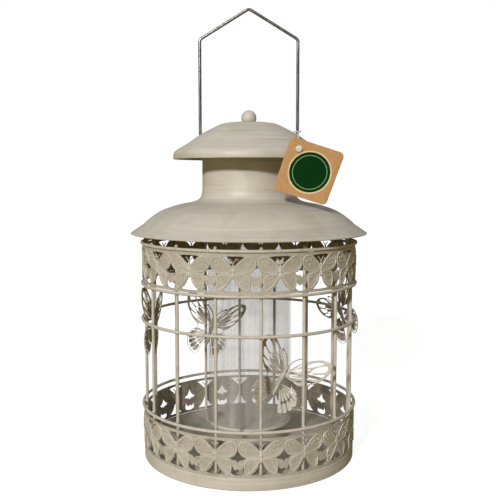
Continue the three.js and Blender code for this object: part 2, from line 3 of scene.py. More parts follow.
# %% [markdown]
# # A hanging caged seed feeder
# The mechanical model is loaded first and stays as it is. It says where every piece sits and
# which body it moves with. Everything below is a finer piece made at the same place, so nothing
# is fitted afterwards. The box of the mechanical model is kept.

# %% Load the frame
import math

import bmesh
import bpy
from mathutils import Matrix, Vector


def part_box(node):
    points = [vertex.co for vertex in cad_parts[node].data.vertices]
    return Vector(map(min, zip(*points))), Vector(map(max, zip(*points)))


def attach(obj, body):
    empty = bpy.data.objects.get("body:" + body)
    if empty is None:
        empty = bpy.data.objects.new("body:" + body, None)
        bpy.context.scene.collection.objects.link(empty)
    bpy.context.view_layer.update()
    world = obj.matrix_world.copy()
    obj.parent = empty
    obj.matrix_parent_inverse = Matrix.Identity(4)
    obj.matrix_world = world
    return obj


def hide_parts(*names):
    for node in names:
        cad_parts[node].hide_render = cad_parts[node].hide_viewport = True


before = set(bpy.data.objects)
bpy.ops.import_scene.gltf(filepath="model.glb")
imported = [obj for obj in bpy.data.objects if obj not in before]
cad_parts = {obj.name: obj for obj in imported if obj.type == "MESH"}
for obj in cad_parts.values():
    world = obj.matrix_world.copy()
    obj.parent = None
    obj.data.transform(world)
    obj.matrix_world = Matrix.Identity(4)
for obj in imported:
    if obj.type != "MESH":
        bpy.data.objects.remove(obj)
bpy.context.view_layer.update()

# %% [markdown]
# ## The sizes that the pieces share
# A maker's drawing of this feeder is in millimetres, so the script is too, and each helper turns
# them into metres when it makes a piece. Sizes that belong to one piece only are named in that
# piece's own cell. Levels are heights over the surface that the feeder stands on, and angles go
# round the feeder from its front, positive towards the right.

# %% Shared sizes
MM = 0.001
SHEET = 0.8
GAP = 0.3
WIRE_COUNT = 16
WIRE_RADIUS = 1.2
WIRE_CIRCLE = 82.7
WIRE_PHASE = 5.9
HOOPS = {"ring_lower": 43.0, "ring_middle": 111.9, "ring_upper": 140.4, "ring_top": 172.3}
HOOP_CIRCLE = WIRE_CIRCLE + 2 * WIRE_RADIUS + GAP
CAGE_RADIUS = 85.0
TRAY_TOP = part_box("seed_tray")[1].z / MM
WIRE_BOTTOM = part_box("wire_01")[0].z / MM
WIRE_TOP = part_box("wire_01")[1].z / MM
print("tray top", round(TRAY_TOP, 2), "wires", round(WIRE_BOTTOM, 2), "to", round(WIRE_TOP, 2))

# %% [markdown]
# ## Working by hand, in code
# Blender's operators act on whatever is selected, so each step starts by clearing the selection
# and picking the pieces it means. Inside edit mode, faces, edges or points are picked by a test
# on their place or direction, which is what a person does with a box select.

# %% Selecting
def deselect():
    if bpy.context.object and bpy.context.object.mode != "OBJECT":
        bpy.ops.object.mode_set(mode="OBJECT")
    bpy.ops.object.select_all(action="DESELECT")


def pick(*pieces):
    deselect()
    for piece in pieces:
        piece.select_set(True)
    bpy.context.view_layer.objects.active = pieces[0]


def open_mesh(piece, mode="VERT"):
    pick(piece)
    bpy.ops.object.mode_set(mode="EDIT")
    bpy.ops.mesh.select_mode(type=mode)


def close_mesh():
    bpy.ops.object.mode_set(mode="OBJECT")


def select_by(piece, kind, test):
    """Select only the verts, edges or faces that pass a test, in edit mode."""
    bpy.ops.mesh.select_all(action="DESELECT")
    mesh = bmesh.from_edit_mesh(piece.data)
    chosen = 0
    for item in getattr(mesh, kind):
        if test(item):
            item.select_set(True)
            chosen += 1
    mesh.select_flush_mode()
    bmesh.update_edit_mesh(piece.data)
    return chosen


def settle(piece):
    """Put a piece's place, turn and size into its mesh."""
    pick(piece)
    bpy.ops.object.transform_apply(location=True, rotation=True, scale=True)
    return piece


def tidy_mesh(piece, distance=0.01):
    """Merge doubled points and face every side outwards."""
    open_mesh(piece)
    bpy.ops.mesh.select_all(action="SELECT")
    bpy.ops.mesh.remove_doubles(threshold=distance * MM)
    bpy.ops.mesh.normals_make_consistent(inside=False)
    close_mesh()
    return piece


def modify(piece, kind, **settings):
    """Add one modifier, set it and apply it."""
    pick(piece)
    modifier = piece.modifiers.new(kind.title(), kind)
    for key, value in settings.items():
        setattr(modifier, key, value)
    bpy.ops.object.modifier_apply(modifier=modifier.name)
    return piece


def soften(piece, angle=35):
    """Shade smooth, but keep edges sharper than the angle."""
    pick(piece)
    bpy.ops.object.shade_smooth_by_angle(angle=math.radians(angle))
    return piece


def copy_of(piece, name):
    pick(piece)
    bpy.ops.object.duplicate(linked=False)
    copy = bpy.context.object
    copy.name = name
    copy.data.name = name
    return copy


def join(name, *pieces):
    pick(*pieces)
    bpy.ops.object.join()
    joined = bpy.context.object
    joined.name = name
    return joined


def discard(piece):
    bpy.data.objects.remove(piece)


def cut_away(piece, cutter):
    """Cut one closed piece out of another, and throw the cutter away."""
    modify(piece, "BOOLEAN", operation="DIFFERENCE", solver="EXACT", object=cutter)
    discard(cutter)
    return piece


# %% [markdown]
# ## Turned pieces
# The roof, lid, tray, seat and finial are all spun on a lathe on the real feeder. Here one point
# is extruded along the outline, in the same order as a drawing gives it, and the line is spun
# round the feeder's axis. A full turn comes back on itself, so the doubled seam and the points
# on the axis are merged. Pressed sheet gets its thickness afterwards, from a solidify modifier.

# %% Turning an outline
ROUND_STEPS = 128


def point_at(x, y, z, name):
    """A mesh of one point, made from a plane merged to its middle."""
    deselect()
    bpy.ops.mesh.primitive_plane_add(size=MM, location=(x * MM, y * MM, z * MM))
    piece = bpy.context.object
    piece.name = name
    piece.data.name = name
    bpy.ops.object.mode_set(mode="EDIT")
    bpy.ops.mesh.select_mode(type="VERT")
    bpy.ops.mesh.select_all(action="SELECT")
    bpy.ops.mesh.merge(type="CENTER")
    return piece


def spun(name, outline, steps=ROUND_STEPS):
    """Turn an outline of (radius, level) points round the feeder's axis."""
    piece = point_at(outline[0][0], 0, outline[0][1], name)
    for (r0, z0), (r1, z1) in zip(outline, outline[1:]):
        step = ((r1 - r0) * MM, 0, (z1 - z0) * MM)
        bpy.ops.mesh.extrude_region_move(TRANSFORM_OT_translate={"value": step})
    bpy.ops.mesh.select_all(action="SELECT")
    bpy.ops.mesh.spin(steps=steps, angle=math.tau, center=(0, 0, 0), axis=(0, 0, 1))
    close_mesh()
    settle(piece)
    return tidy_mesh(piece, 0.005)


def closed(outline):
    return outline + outline[:1]


def rounded(corners, radius, steps=4):
    """Round the inner corners of a run of (radius, level) points."""
    points = [corners[0]]
    for before, corner, after in zip(corners, corners[1:], corners[2:]):
        here = Vector(corner)
        into = (Vector(before) - here)
        out = (Vector(after) - here)
        reach = min(radius, into.length * 0.45, out.length * 0.45)
        start = here + into.normalized() * reach
        end = here + out.normalized() * reach
        for i in range(steps + 1):
            t = i / steps
            bend = start.lerp(here, t).lerp(here.lerp(end, t), t)
            points.append((bend.x, bend.y))
    points.append(corners[-1])
    return points


def smooth_run(points, steps=5):
    """A smooth line through a run of points."""
    padded = [points[0], *points, points[-1]]
    line = []
    for a, b, c, d in zip(padded, padded[1:], padded[2:], padded[3:]):
        for i in range(steps):
            t = i / steps
            weights = (-t + 2 * t * t - t ** 3, 2 - 5 * t * t + 3 * t ** 3,
                       t + 4 * t * t - 3 * t ** 3, -t * t + t ** 3)
            line.append(tuple(
                0.5 * sum(w * p[k] for w, p in zip(weights, (a, b, c, d)))
                for k in range(len(a))))
    line.append(tuple(points[-1]))
    return line


def pressed(piece, thickness=SHEET, edge=0.15):
    """Give a turned skin its sheet thickness inwards, and break its sharp edges."""
    modify(piece, "SOLIDIFY", thickness=thickness * MM, offset=-1, use_even_offset=True)
    modify(piece, "BEVEL", width=edge * MM, segments=2, limit_method="ANGLE",
           angle_limit=math.radians(50))
    return soften(piece)


def around(radius, degrees, level=0.0):
    angle = math.radians(degrees)
    return Vector((radius * math.sin(angle), -radius * math.cos(angle), level)) * MM


# %% [markdown]
# ## Camera, light and floor
# The feeder is seen from a little over half a metre away, from the height of its roof, with the
# camera tipped down a few degrees. One key light stands low on the left, as a studio flash does:
# it throws the lid's shadow across the neck. The floor and the sky look white behind the feeder,
# but what they throw on it is dim, and brown from the floor and the horizon. That is a choice of
# light and not of paint: it is why the shadows under the lid and the roof go brown here, and in
# another studio they would be greyer.

# %% Camera
CAMERA_DISTANCE = 593.9
CAMERA_LEVEL = 223.85
CAMERA_SIDE = -0.7
CAMERA_TILT = 5.51
LENS = 53.7

deselect()
bpy.ops.object.camera_add(
    location=(CAMERA_SIDE * MM, -CAMERA_DISTANCE * MM, CAMERA_LEVEL * MM),
    rotation=(math.radians(90 - CAMERA_TILT), 0, 0))
camera = bpy.context.object
camera.data.lens = LENS
camera.data.sensor_width = 36.0
bpy.context.scene.camera = camera
print("camera at", [round(v, 4) for v in camera.location])

# %% Light
KEY_SIDE = -22
KEY_HEIGHT = 22
KEY_STRENGTH = 2.62
KEY_SOFTNESS = 5
KEY_COLOUR = (1.0, 0.985, 0.96)
SKY_STRENGTH = 0.36
HORIZON = (0.32, 0.23, 0.07, 1)
HORIZON_END = 0.05
ZENITH_START = 0.5

deselect()
bpy.ops.object.light_add(type="SUN", location=around(600, KEY_SIDE, 500), rotation=(
    math.radians(90 - KEY_HEIGHT), 0, math.radians(KEY_SIDE)))
key = bpy.context.object
key.data.energy = KEY_STRENGTH
key.data.angle = math.radians(KEY_SOFTNESS)
key.data.color = KEY_COLOUR


def add_node(tree, kind, inputs=None, **settings):
    """Add a shader node, set it, and set or connect its inputs."""
    made = tree.nodes.new(kind)
    for key_name, value in settings.items():
        setattr(made, key_name, value)
    for slot, value in (inputs or {}).items():
        if isinstance(value, bpy.types.NodeSocket):
            tree.links.new(value, made.inputs[slot])
        else:
            made.inputs[slot].default_value = value
    return made


world = bpy.data.worlds.new("studio_sky")
bpy.context.scene.world = world
world.use_nodes = True
sky = world.node_tree
seen = add_node(sky, "ShaderNodeLightPath").outputs["Is Camera Ray"]
strength = add_node(sky, "ShaderNodeMapRange", {0: seen, 3: SKY_STRENGTH, 4: 1.0})
sky.links.new(strength.outputs[0], sky.nodes["Background"].inputs["Strength"])
towards = add_node(sky, "ShaderNodeTexCoord").outputs["Generated"]
upwards = add_node(sky, "ShaderNodeSeparateXYZ", {0: towards}).outputs["Z"]
share = add_node(sky, "ShaderNodeMapRange", {
    0: upwards, 1: HORIZON_END, 2: ZENITH_START}).outputs[0]
either = add_node(sky, "ShaderNodeMath", {0: share, 1: seen}, operation="MAXIMUM").outputs[0]
tint = add_node(sky, "ShaderNodeMix", {0: either, 6: HORIZON, 7: (1, 1, 1, 1)}, data_type="RGBA")
sky.links.new(tint.outputs[2], sky.nodes["Background"].inputs["Color"])
bpy.context.scene.view_settings.view_transform = "Standard"

# %% Floor
FLOOR_SIZE = 30
FLOOR_BOUNCE = (0.38, 0.29, 0.10, 1)
FLOOR_SHADE = (0.3, 0.3, 0.3, 1)
FLOOR_GLOW = 0.88

deselect()
bpy.ops.mesh.primitive_plane_add(size=FLOOR_SIZE, location=(0, 0, 0))
floor = bpy.context.object
floor.name = "studio_floor"
floor_paint = bpy.data.materials.new("studio_floor")
floor_paint.use_nodes = True
tree = floor_paint.node_tree
tree.nodes.remove(tree.nodes["Principled BSDF"])
bounce = add_node(tree, "ShaderNodeBsdfDiffuse", {"Color": FLOOR_BOUNCE})
faint = add_node(tree, "ShaderNodeBsdfDiffuse", {"Color": FLOOR_SHADE})
glow = add_node(tree, "ShaderNodeEmission", {"Color": (1, 1, 1, 1), "Strength": FLOOR_GLOW})
shown = add_node(tree, "ShaderNodeAddShader", {0: faint.outputs[0], 1: glow.outputs[0]})
ray = add_node(tree, "ShaderNodeLightPath").outputs["Is Camera Ray"]
mixed = add_node(tree, "ShaderNodeMixShader", {
    0: ray, 1: bounce.outputs[0], 2: shown.outputs[0]})
tree.links.new(mixed.outputs[0], tree.nodes["Material Output"].inputs["Surface"])
floor.data.materials.append(floor_paint)
print("floor", tuple(floor.dimensions))

# %% [markdown]
# ## The antique paint
# The metal is sprayed cream, then given a brown-grey glaze that is brushed back, so the colour
# runs in fine streaks round each turned piece and gathers in the recesses. On the bands, that brown
# in the recesses is also painted shade between the raised lines, and the back face of the sheet is
# painted darker still, as painted shade for the inside of the cage. The streaks come from noise
# that is squeezed along the surface and stretched round it. The measure across the streaks is the
# level less the distance from the axis, which runs down a wall and down a slope alike. It reads the
# object's own coordinates, so the pattern stays on the piece when the piece moves.

# %% Colours
def colour(red, green, blue):
    """A colour by its usual 0 to 255 values, made linear for the shader."""
    linear = []
    for value in (red, green, blue):
        v = value / 255
        linear.append(v / 12.92 if v <= 0.04045 else ((v + 0.055) / 1.055) ** 2.4)
    return (*linear, 1.0)


CREAM = colour(201, 195, 183)
PALE = colour(217, 212, 203)
OLIVE = colour(172, 168, 150)
ROSE = colour(199, 186, 178)
UMBER = colour(94, 77, 36)
# How much darker the back face of the bands is painted: painted shade for the inside of the cage.
BACK_PAINTED_SHADE = 0.3


def material_of(name):
    material = bpy.data.materials.new(name)
    material.use_nodes = True
    tree = material.node_tree
    return material, tree, tree.nodes["Principled BSDF"]


def ramp(tree, factor, stops):
    """A colour ramp from (place, colour) stops."""
    made = add_node(tree, "ShaderNodeValToRGB", {0: factor})
    points = made.color_ramp.elements
    while len(points) < len(stops):
        points.new(0.5)
    for point, (place, value) in zip(points, stops):
        point.position = place
        point.color = value
    return made.outputs["Color"]


def mixed_colour(tree, factor, first, second, mode="MIX"):
    made = add_node(tree, "ShaderNodeMix", {0: factor}, data_type="RGBA", blend_type=mode)
    for slot, value in ((6, first), (7, second)):
        if isinstance(value, bpy.types.NodeSocket):
            tree.links.new(value, made.inputs[slot])
        else:
            made.inputs[slot].default_value = value
    return made.outputs[2]


def sums(tree, operation, first, second=0.0, clamp=False):
    return add_node(tree, "ShaderNodeMath", {0: first, 1: second}, operation=operation,
                    use_clamp=clamp).outputs[0]


def spread(tree, value, low, high, to_low=0.0, to_high=1.0):
    """Stretch a value from one range to another."""
    return add_node(tree, "ShaderNodeMapRange", {
        0: value, 1: low, 2: high, 3: to_low, 4: to_high}).outputs[0]


def noise(tree, vector, scale, detail=3.0, roughness=0.5):
    return add_node(tree, "ShaderNodeTexNoise", {
        "Vector": vector, "Scale": scale, "Detail": detail, "Roughness": roughness}).outputs[0]


def brush_coordinates(tree, along, across):
    """Object coordinates stretched round the axis and squeezed down the surface."""
    place = add_node(tree, "ShaderNodeTexCoord").outputs["Object"]
    split = add_node(tree, "ShaderNodeSeparateXYZ", {0: place})
    x, y, z = split.outputs
    level_circle = add_node(tree, "ShaderNodeCombineXYZ", {0: x, 1: y})
    radius = add_node(tree, "ShaderNodeVectorMath", {0: level_circle.outputs[0]},
                      operation="LENGTH").outputs["Value"]
    down = sums(tree, "SUBTRACT", z, radius)
    stretched = add_node(tree, "ShaderNodeCombineXYZ", {
        0: sums(tree, "MULTIPLY", x, along), 1: sums(tree, "MULTIPLY", y, along),
        2: sums(tree, "MULTIPLY", down, across)})
    return place, radius, stretched.outputs[0]


def antique_paint(name, along=14.0, across=420.0, wear=0.5, glaze_and_shade=None, patch=45.0, wash=0.0):
    """Cream paint with brushed streaks, worn spots and, if asked, brown glazing in the recesses
    that is also painted shade, with painted shade on the back face.
    """
    material, tree, shader = material_of(name)
    place, radius, brushed = brush_coordinates(tree, along, across)
    streaks = noise(tree, brushed, 1.0, 6.0, 0.62)
    broad = noise(tree, place, patch, 3.0, 0.5)
    base = ramp(tree, streaks, [(0.30, OLIVE), (0.46, CREAM), (0.56, CREAM), (0.72, PALE)])
    tint = ramp(tree, broad, [(0.38, OLIVE), (0.52, CREAM), (0.66, ROSE)])
    base = mixed_colour(tree, 0.35, base, tint)
    rubbed = noise(tree, add_node(tree, "ShaderNodeVectorMath", {
        0: brushed, 1: (3.1, 7.7, 1.3)}, operation="ADD").outputs[0], 1.9, 8.0, 0.7)
    rubbed = spread(tree, rubbed, 0.66, 0.74)
    patches = spread(tree, noise(tree, place, patch * 1.7, 2.0), 0.48, 0.62)
    worn = sums(tree, "MULTIPLY", rubbed, patches)
    worn = sums(tree, "MULTIPLY", worn, wear)
    base = mixed_colour(tree, worn, base, UMBER)
    grain = spread(tree, noise(tree, place, 380.0, 3.0), 0.35, 0.65, 0.55, 1.0)
    if wash:
        base = mixed_colour(tree, sums(tree, "MULTIPLY", grain, wash), base, UMBER)
    if glaze_and_shade:
        inner, outer, depth = glaze_and_shade
        # Darker down in the recesses and paler on the raised lines: brown glazing, and also painted
        # shade between the raised lines.
        recess = spread(tree, radius, outer * MM, inner * MM, 0.0, depth)
        # The back face of the sheet is painted darker still: painted shade for the inside of the
        # cage.
        back = spread(tree, radius, (inner - 0.2) * MM, (inner - 0.4) * MM, 0.0,
                      BACK_PAINTED_SHADE)
        glaze_and_painted_shade = sums(tree, "MULTIPLY", sums(tree, "ADD", recess, back), grain)
        base = mixed_colour(tree, glaze_and_painted_shade, base, UMBER)
    tree.links.new(base, shader.inputs["Base Color"])
    shine = spread(tree, streaks, 0.3, 0.7, 0.56, 0.40)
    tree.links.new(shine, shader.inputs["Roughness"])
    shader.inputs["Metallic"].default_value = 0.0
    shader.inputs["Specular IOR Level"].default_value = 0.55
    fine = noise(tree, place, 1100.0, 2.0)
    height = sums(tree, "ADD", sums(tree, "MULTIPLY", streaks, 0.7), sums(
        tree, "MULTIPLY", fine, 0.3))
    bump = add_node(tree, "ShaderNodeBump", {
        "Strength": 0.16, "Distance": 0.0004, "Height": height})
    tree.links.new(bump.outputs[0], shader.inputs["Normal"])
    return material


turned_paint = antique_paint("turned_cream_paint")
wire_paint = antique_paint("wire_cream_paint", along=300.0, across=260.0, wear=0.95, patch=90.0)
wing_paint = antique_paint("wing_cream_paint", along=420.0, across=420.0, wear=1.0, patch=160.0,
                           wash=0.25)
# On the bands the brown in the recesses is partly painted shade, and the back face gets painted
# shade.
band_paint = antique_paint("band_cream_paint", along=120.0, across=300.0, wear=0.6,
                           glaze_and_shade=(84.95, 85.6, 0.36))
print("paints:", [m.name for m in (turned_paint, wire_paint, wing_paint, band_paint)])

# %% [markdown]
# ## The other finishes
# The bail is bright drawn steel, which is a dark metal with a fine lengthwise grain. The tube is
# a thin clear plastic that greys what is behind it and shows faint draw lines down its length.
# The rivets and the nut are zinc plated, with the small spangle of plating. The tag is brown
# kraft card: pulp fibres, darker flecks, and a plain printed disc that reads the card's own map.

# %% Metals and plastics
def drawn_steel():
    material, tree, shader = material_of("bail_steel")
    place = add_node(tree, "ShaderNodeTexCoord").outputs["Object"]
    stretched = add_node(tree, "ShaderNodeMapping", {0: place, 3: (900, 900, 60)}).outputs[0]
    grain = noise(tree, stretched, 1.0, 4.0)
    tone = ramp(tree, grain, [(0.3, colour(112, 112, 114)), (0.7, colour(160, 160, 163))])
    tree.links.new(tone, shader.inputs["Base Color"])
    tree.links.new(spread(tree, grain, 0.3, 0.7, 0.22, 0.42), shader.inputs["Roughness"])
    shader.inputs["Metallic"].default_value = 1.0
    bump = add_node(tree, "ShaderNodeBump", {"Strength": 0.1, "Distance": 0.0002, "Height": grain})
    tree.links.new(bump.outputs[0], shader.inputs["Normal"])
    return material


def clear_plastic():
    material, tree, shader = material_of("tube_plastic")
    place = add_node(tree, "ShaderNodeTexCoord").outputs["Object"]
    lines = add_node(tree, "ShaderNodeMapping", {0: place, 3: (260, 260, 6)}).outputs[0]
    drawn_lines = noise(tree, lines, 1.0, 5.0, 0.6)
    tone = ramp(tree, drawn_lines, [(0.34, colour(172, 167, 162)), (0.66, colour(210, 206, 203))])
    tree.links.new(tone, shader.inputs["Base Color"])
    haze = spread(tree, drawn_lines, 0.35, 0.65, 0.13, 0.25)
    tree.links.new(haze, shader.inputs["Alpha"])
    tree.links.new(spread(tree, drawn_lines, 0.3, 0.7, 0.08, 0.2), shader.inputs["Roughness"])
    shader.inputs["IOR"].default_value = 1.49
    bump = add_node(tree, "ShaderNodeBump", {
        "Strength": 0.08, "Distance": 0.0003, "Height": drawn_lines})
    tree.links.new(bump.outputs[0], shader.inputs["Normal"])
    return material


def zinc_plate():
    material, tree, shader = material_of("zinc_plate")
    place = add_node(tree, "ShaderNodeTexCoord").outputs["Object"]
    spangle = add_node(tree, "ShaderNodeTexVoronoi", {"Vector": place, "Scale": 900.0})
    tone = ramp(tree, spangle.outputs["Distance"], [
        (0.1, colour(168, 168, 166)), (0.8, colour(196, 196, 192))])
    tree.links.new(tone, shader.inputs["Base Color"])
    shine = spread(tree, spangle.outputs["Distance"], 0.0, 0.8, 0.3, 0.5)
    tree.links.new(shine, shader.inputs["Roughness"])
    shader.inputs["Metallic"].default_value = 0.9
    return material


def pale_nylon():
    material, tree, shader = material_of("fastener_nylon")
    place = add_node(tree, "ShaderNodeTexCoord").outputs["Object"]
    cloud = noise(tree, place, 700.0, 2.0)
    tone = ramp(tree, cloud, [(0.3, colour(205, 202, 196)), (0.7, colour(232, 230, 226))])
    tree.links.new(tone, shader.inputs["Base Color"])
    tree.links.new(spread(tree, cloud, 0.3, 0.7, 0.28, 0.4), shader.inputs["Roughness"])
    return material


steel = drawn_steel()
plastic = clear_plastic()
zinc = zinc_plate()
nylon = pale_nylon()
print("finishes:", [m.name for m in (steel, plastic, zinc, nylon)])


# %% Fitting a piece to the frame
def fit(piece, body, slot, material, *nodes):
    """Give a finished piece its material and its body, and hide the nodes that it stands for."""
    piece.data.materials.clear()
    piece.data.materials.append(material)
    for face in piece.data.polygons:
        face.material_index = 0
    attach(piece, body)
    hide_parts(*nodes)
    return piece


def triangles(piece):
    return sum(len(face.vertices) - 2 for face in piece.data.polygons)


# %% [markdown]
# ## The seed tray
# The tray is one pressed pan. Its flat floor carries the seed, its rim is the plain strip at the
# very bottom, and the rim's lower edge is turned in so that the feeder stands on a smooth foot.
# The outline runs from the middle of the floor over the edge and down to the foot.

# %% Seed tray
TRAY_FOOT = 4.0
tray_outline = rounded([
    (0, TRAY_TOP), (CAGE_RADIUS, TRAY_TOP), (CAGE_RADIUS, 0), (CAGE_RADIUS - TRAY_FOOT, 0),
], 0.9)
tray_rings = [(r, TRAY_TOP) for r in (20, 40, 60)]
tray = pressed(spun("tray_pan", tray_outline[:1] + tray_rings + tray_outline[1:]))
fit(tray, "root", "cream_paint", turned_paint, "seed_tray")
print("tray:", triangles(tray), "triangles")

# %% [markdown]
# ## The seat under the tube
# The tube stands on a raised drum with a thin flange, so that seed running out of the ports
# spreads over the tray. The drum is deep drawn, so all of its corners are round. A small vent is
# drilled in front, and three rivets hold the drum's turned-in foot to the tray's floor.

# %% Tube seat and rivets
SEAT_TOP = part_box("tube_seat")[1].z / MM
SEAT_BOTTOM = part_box("tube_seat")[0].z / MM
SEAT_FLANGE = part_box("tube_seat")[1].y / MM
SEAT_DRUM = 29.0
FLANGE_DEPTH = 2.2
SEAT_FOOT = 7.0
VENT_RADIUS = 1.2

inner = SEAT_DRUM - SHEET
under = SEAT_TOP - FLANGE_DEPTH
seat_outline = [(0, SEAT_TOP - SHEET)] + rounded([
    (10, SEAT_TOP - SHEET), (inner, SEAT_TOP - SHEET), (inner, SEAT_BOTTOM + SHEET),
    (inner - SEAT_FOOT, SEAT_BOTTOM + SHEET), (inner - SEAT_FOOT, SEAT_BOTTOM),
    (SEAT_DRUM, SEAT_BOTTOM), (SEAT_DRUM, under), (SEAT_FLANGE, under),
    (SEAT_FLANGE, SEAT_TOP), (10, SEAT_TOP),
], 0.5, 3) + [(0, SEAT_TOP)]
seat = spun("seat_drum", seat_outline, 96)
deselect()
bpy.ops.mesh.primitive_cylinder_add(
    vertices=24, radius=VENT_RADIUS * MM, depth=6 * MM, rotation=(math.pi / 2, 0, 0),
    location=around(SEAT_DRUM, 0, under - 2 * VENT_RADIUS))
cut_away(seat, settle(bpy.context.object))
soften(seat)
fit(seat, "root", "cream_paint", turned_paint, "tube_seat")

RIVET_RADIUS = 1.5
RIVET_HEAD = 2.8
for number in (1, 2, 3):
    low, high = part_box(f"seat_rivet_{number}")
    middle = (low + high) / 2
    bottom, top = low.z / MM, high.z / MM
    head = 0.8
    outline = [(0, bottom), (RIVET_HEAD * 0.7, bottom), (RIVET_HEAD, bottom + head * 0.6),
               (RIVET_HEAD, bottom + head), (RIVET_RADIUS, bottom + head),
               (RIVET_RADIUS, top - head), (RIVET_HEAD, top - head),
               (RIVET_HEAD, top - head * 0.6), (RIVET_HEAD * 0.7, top), (0, top)]
    rivet = spun(f"foot_rivet_{number}", outline, 24)
    rivet.location = (middle.x, middle.y, 0)
    soften(settle(rivet), 60)
    fit(rivet, "root", "zinc", zinc, f"seat_rivet_{number}")
print("seat:", triangles(seat), "triangles; rivets: 3")

# %% [markdown]
# ## The clear tube
# The tube is cut from extruded plastic, so it is a plain wall with slightly broken edges. Each
# seed port is an arch that stands on the tube's bottom edge. The cutter for one is a block with
# its two upper edges bevelled until they meet in a half circle.

# %% Seed tube
TUBE_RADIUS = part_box("seed_tube")[1].y / MM
TUBE_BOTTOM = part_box("seed_tube")[0].z / MM
TUBE_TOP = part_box("seed_tube")[1].z / MM
TUBE_WALL = 1.5
PORT_ANGLES = (-41, 41, 139, -139)
PORT_WIDTH = 16.0
PORT_HEIGHT = 11.0

bore = TUBE_RADIUS - TUBE_WALL
levels = [TUBE_BOTTOM + (TUBE_TOP - TUBE_BOTTOM) * i / 8 for i in range(1, 8)]
tube_outline = closed(rounded([
    (bore + 0.5, TUBE_BOTTOM), (TUBE_RADIUS, TUBE_BOTTOM), (TUBE_RADIUS, levels[3]),
    (TUBE_RADIUS, TUBE_TOP), (bore, TUBE_TOP), (bore, levels[3]), (bore, TUBE_BOTTOM),
    (bore + 0.4, TUBE_BOTTOM),
], 0.3, 2))
tube = spun("clear_tube", tube_outline, 120)
for angle in PORT_ANGLES:
    deselect()
    bpy.ops.mesh.primitive_cube_add(size=MM, location=(0, 0, (PORT_HEIGHT - 5) / 2 * MM))
    cutter = bpy.context.object
    cutter.scale = (PORT_WIDTH, 16, PORT_HEIGHT + 5)
    settle(cutter)
    open_mesh(cutter, "EDGE")
    select_by(cutter, "edges", lambda e: all(v.co.z > 0 for v in e.verts)
              and abs(e.verts[0].co.y - e.verts[1].co.y) > MM)
    bpy.ops.mesh.bevel(offset=PORT_WIDTH / 2 * MM * 0.999, segments=10)
    close_mesh()
    cutter.location = around(TUBE_RADIUS, angle, TUBE_BOTTOM)
    cutter.rotation_euler.z = math.radians(angle)
    cut_away(tube, settle(cutter))
soften(tube)
fit(tube, "root", "clear_plastic", plastic, "seed_tube")
print("tube:", triangles(tube), "triangles,", round(TUBE_TOP - TUBE_BOTTOM, 1), "mm long")

# %% [markdown]
# ## The roof
# The roof and its neck are one spinning: a straight neck, a tight flare, a low dome and a lip
# that turns out again past the cage. The dome is a smooth line through the few points that set
# its shape. Two holes near the top of the neck take the hooks of the bail.

# %% Roof
NECK_RADIUS = 37.1
NECK_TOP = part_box("roof")[1].z / MM
LIP_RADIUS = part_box("roof")[1].x / MM
LIP_LEVEL = 179.7
HOOK_LEVEL = 243.0

dome = smooth_run([
    (NECK_RADIUS, 214.5), (NECK_RADIUS + 1.2, 208.4), (NECK_RADIUS + 4.3, 205.3),
    (NECK_RADIUS + 9.4, 203.6), (55.0, 202.0), (62.0, 200.0), (68.5, 197.6), (74.5, 194.3),
    (80.2, 190.1), (83.9, 186.7),
]) + smooth_run([(85.0, 185.8), (89.5, 182.8), (LIP_RADIUS, LIP_LEVEL)])
neck = [(NECK_RADIUS, NECK_TOP), (NECK_RADIUS, 246), (NECK_RADIUS, 236), (NECK_RADIUS, 225)]
roof = pressed(spun("roof_and_neck", neck + dome, 160))


def level_on(run, radius):
    """Level of a turned outline at a radius, on its way outwards."""
    for (r0, z0), (r1, z1) in zip(run, run[1:]):
        if r0 <= radius <= r1:
            return z0 + (z1 - z0) * (radius - r0) / (r1 - r0)
    return run[-1][1]


deselect()
bpy.ops.mesh.primitive_cylinder_add(
    vertices=32, radius=(WIRE_RADIUS + 0.5) * MM, depth=(2 * NECK_RADIUS + 8) * MM,
    rotation=(0, math.pi / 2, 0), location=(0, 0, HOOK_LEVEL * MM))
cut_away(roof, settle(bpy.context.object))
soften(roof)
fit(roof, "root", "cream_paint", turned_paint, "roof")
print("roof:", triangles(roof), "triangles,", round(2 * LIP_RADIUS), "mm across")

# %% [markdown]
# ## The uprights
# Sixteen straight wires carry the cage. Each hoop is soldered to each wire, which leaves a small
# bead in the corner between them. One upright is made with its beads, at the front, and copied
# round the circle with a mesh of its own each time.

# %% Uprights
BEAD = (1.5, 1.35, 1.6)


def bead(x, y, z, size, name="solder"):
    deselect()
    bpy.ops.mesh.primitive_uv_sphere_add(
        segments=10, ring_count=7, radius=MM, location=(x * MM, y * MM, z * MM))
    piece = bpy.context.object
    piece.name = name
    piece.scale = size
    return settle(piece)


deselect()
bpy.ops.mesh.primitive_cylinder_add(
    vertices=16, radius=WIRE_RADIUS * MM, depth=(WIRE_TOP - WIRE_BOTTOM) * MM,
    location=(0, -WIRE_CIRCLE * MM, (WIRE_TOP + WIRE_BOTTOM) / 2 * MM))
upright = settle(bpy.context.object)
open_mesh(upright, "EDGE")
select_by(upright, "edges", lambda e: abs(e.verts[0].co.z - e.verts[1].co.z) < 0.1 * MM)
bpy.ops.mesh.bevel(offset=0.55 * MM, segments=3)
close_mesh()
beads = [bead(0, -(WIRE_CIRCLE + WIRE_RADIUS + GAP / 2), level, BEAD) for level in HOOPS.values()]
upright = join("upright_master", upright, *beads)
soften(upright, 50)
for i in range(WIRE_COUNT):
    wire = copy_of(upright, f"upright_{i + 1:02d}")
    wire.rotation_euler.z = math.radians(WIRE_PHASE + i * 360 / WIRE_COUNT)
    fit(settle(wire), "root", "cream_paint", wire_paint, f"wire_{i + 1:02d}")
print("uprights:", WIRE_COUNT, "of", triangles(upright), "triangles")
discard(upright)
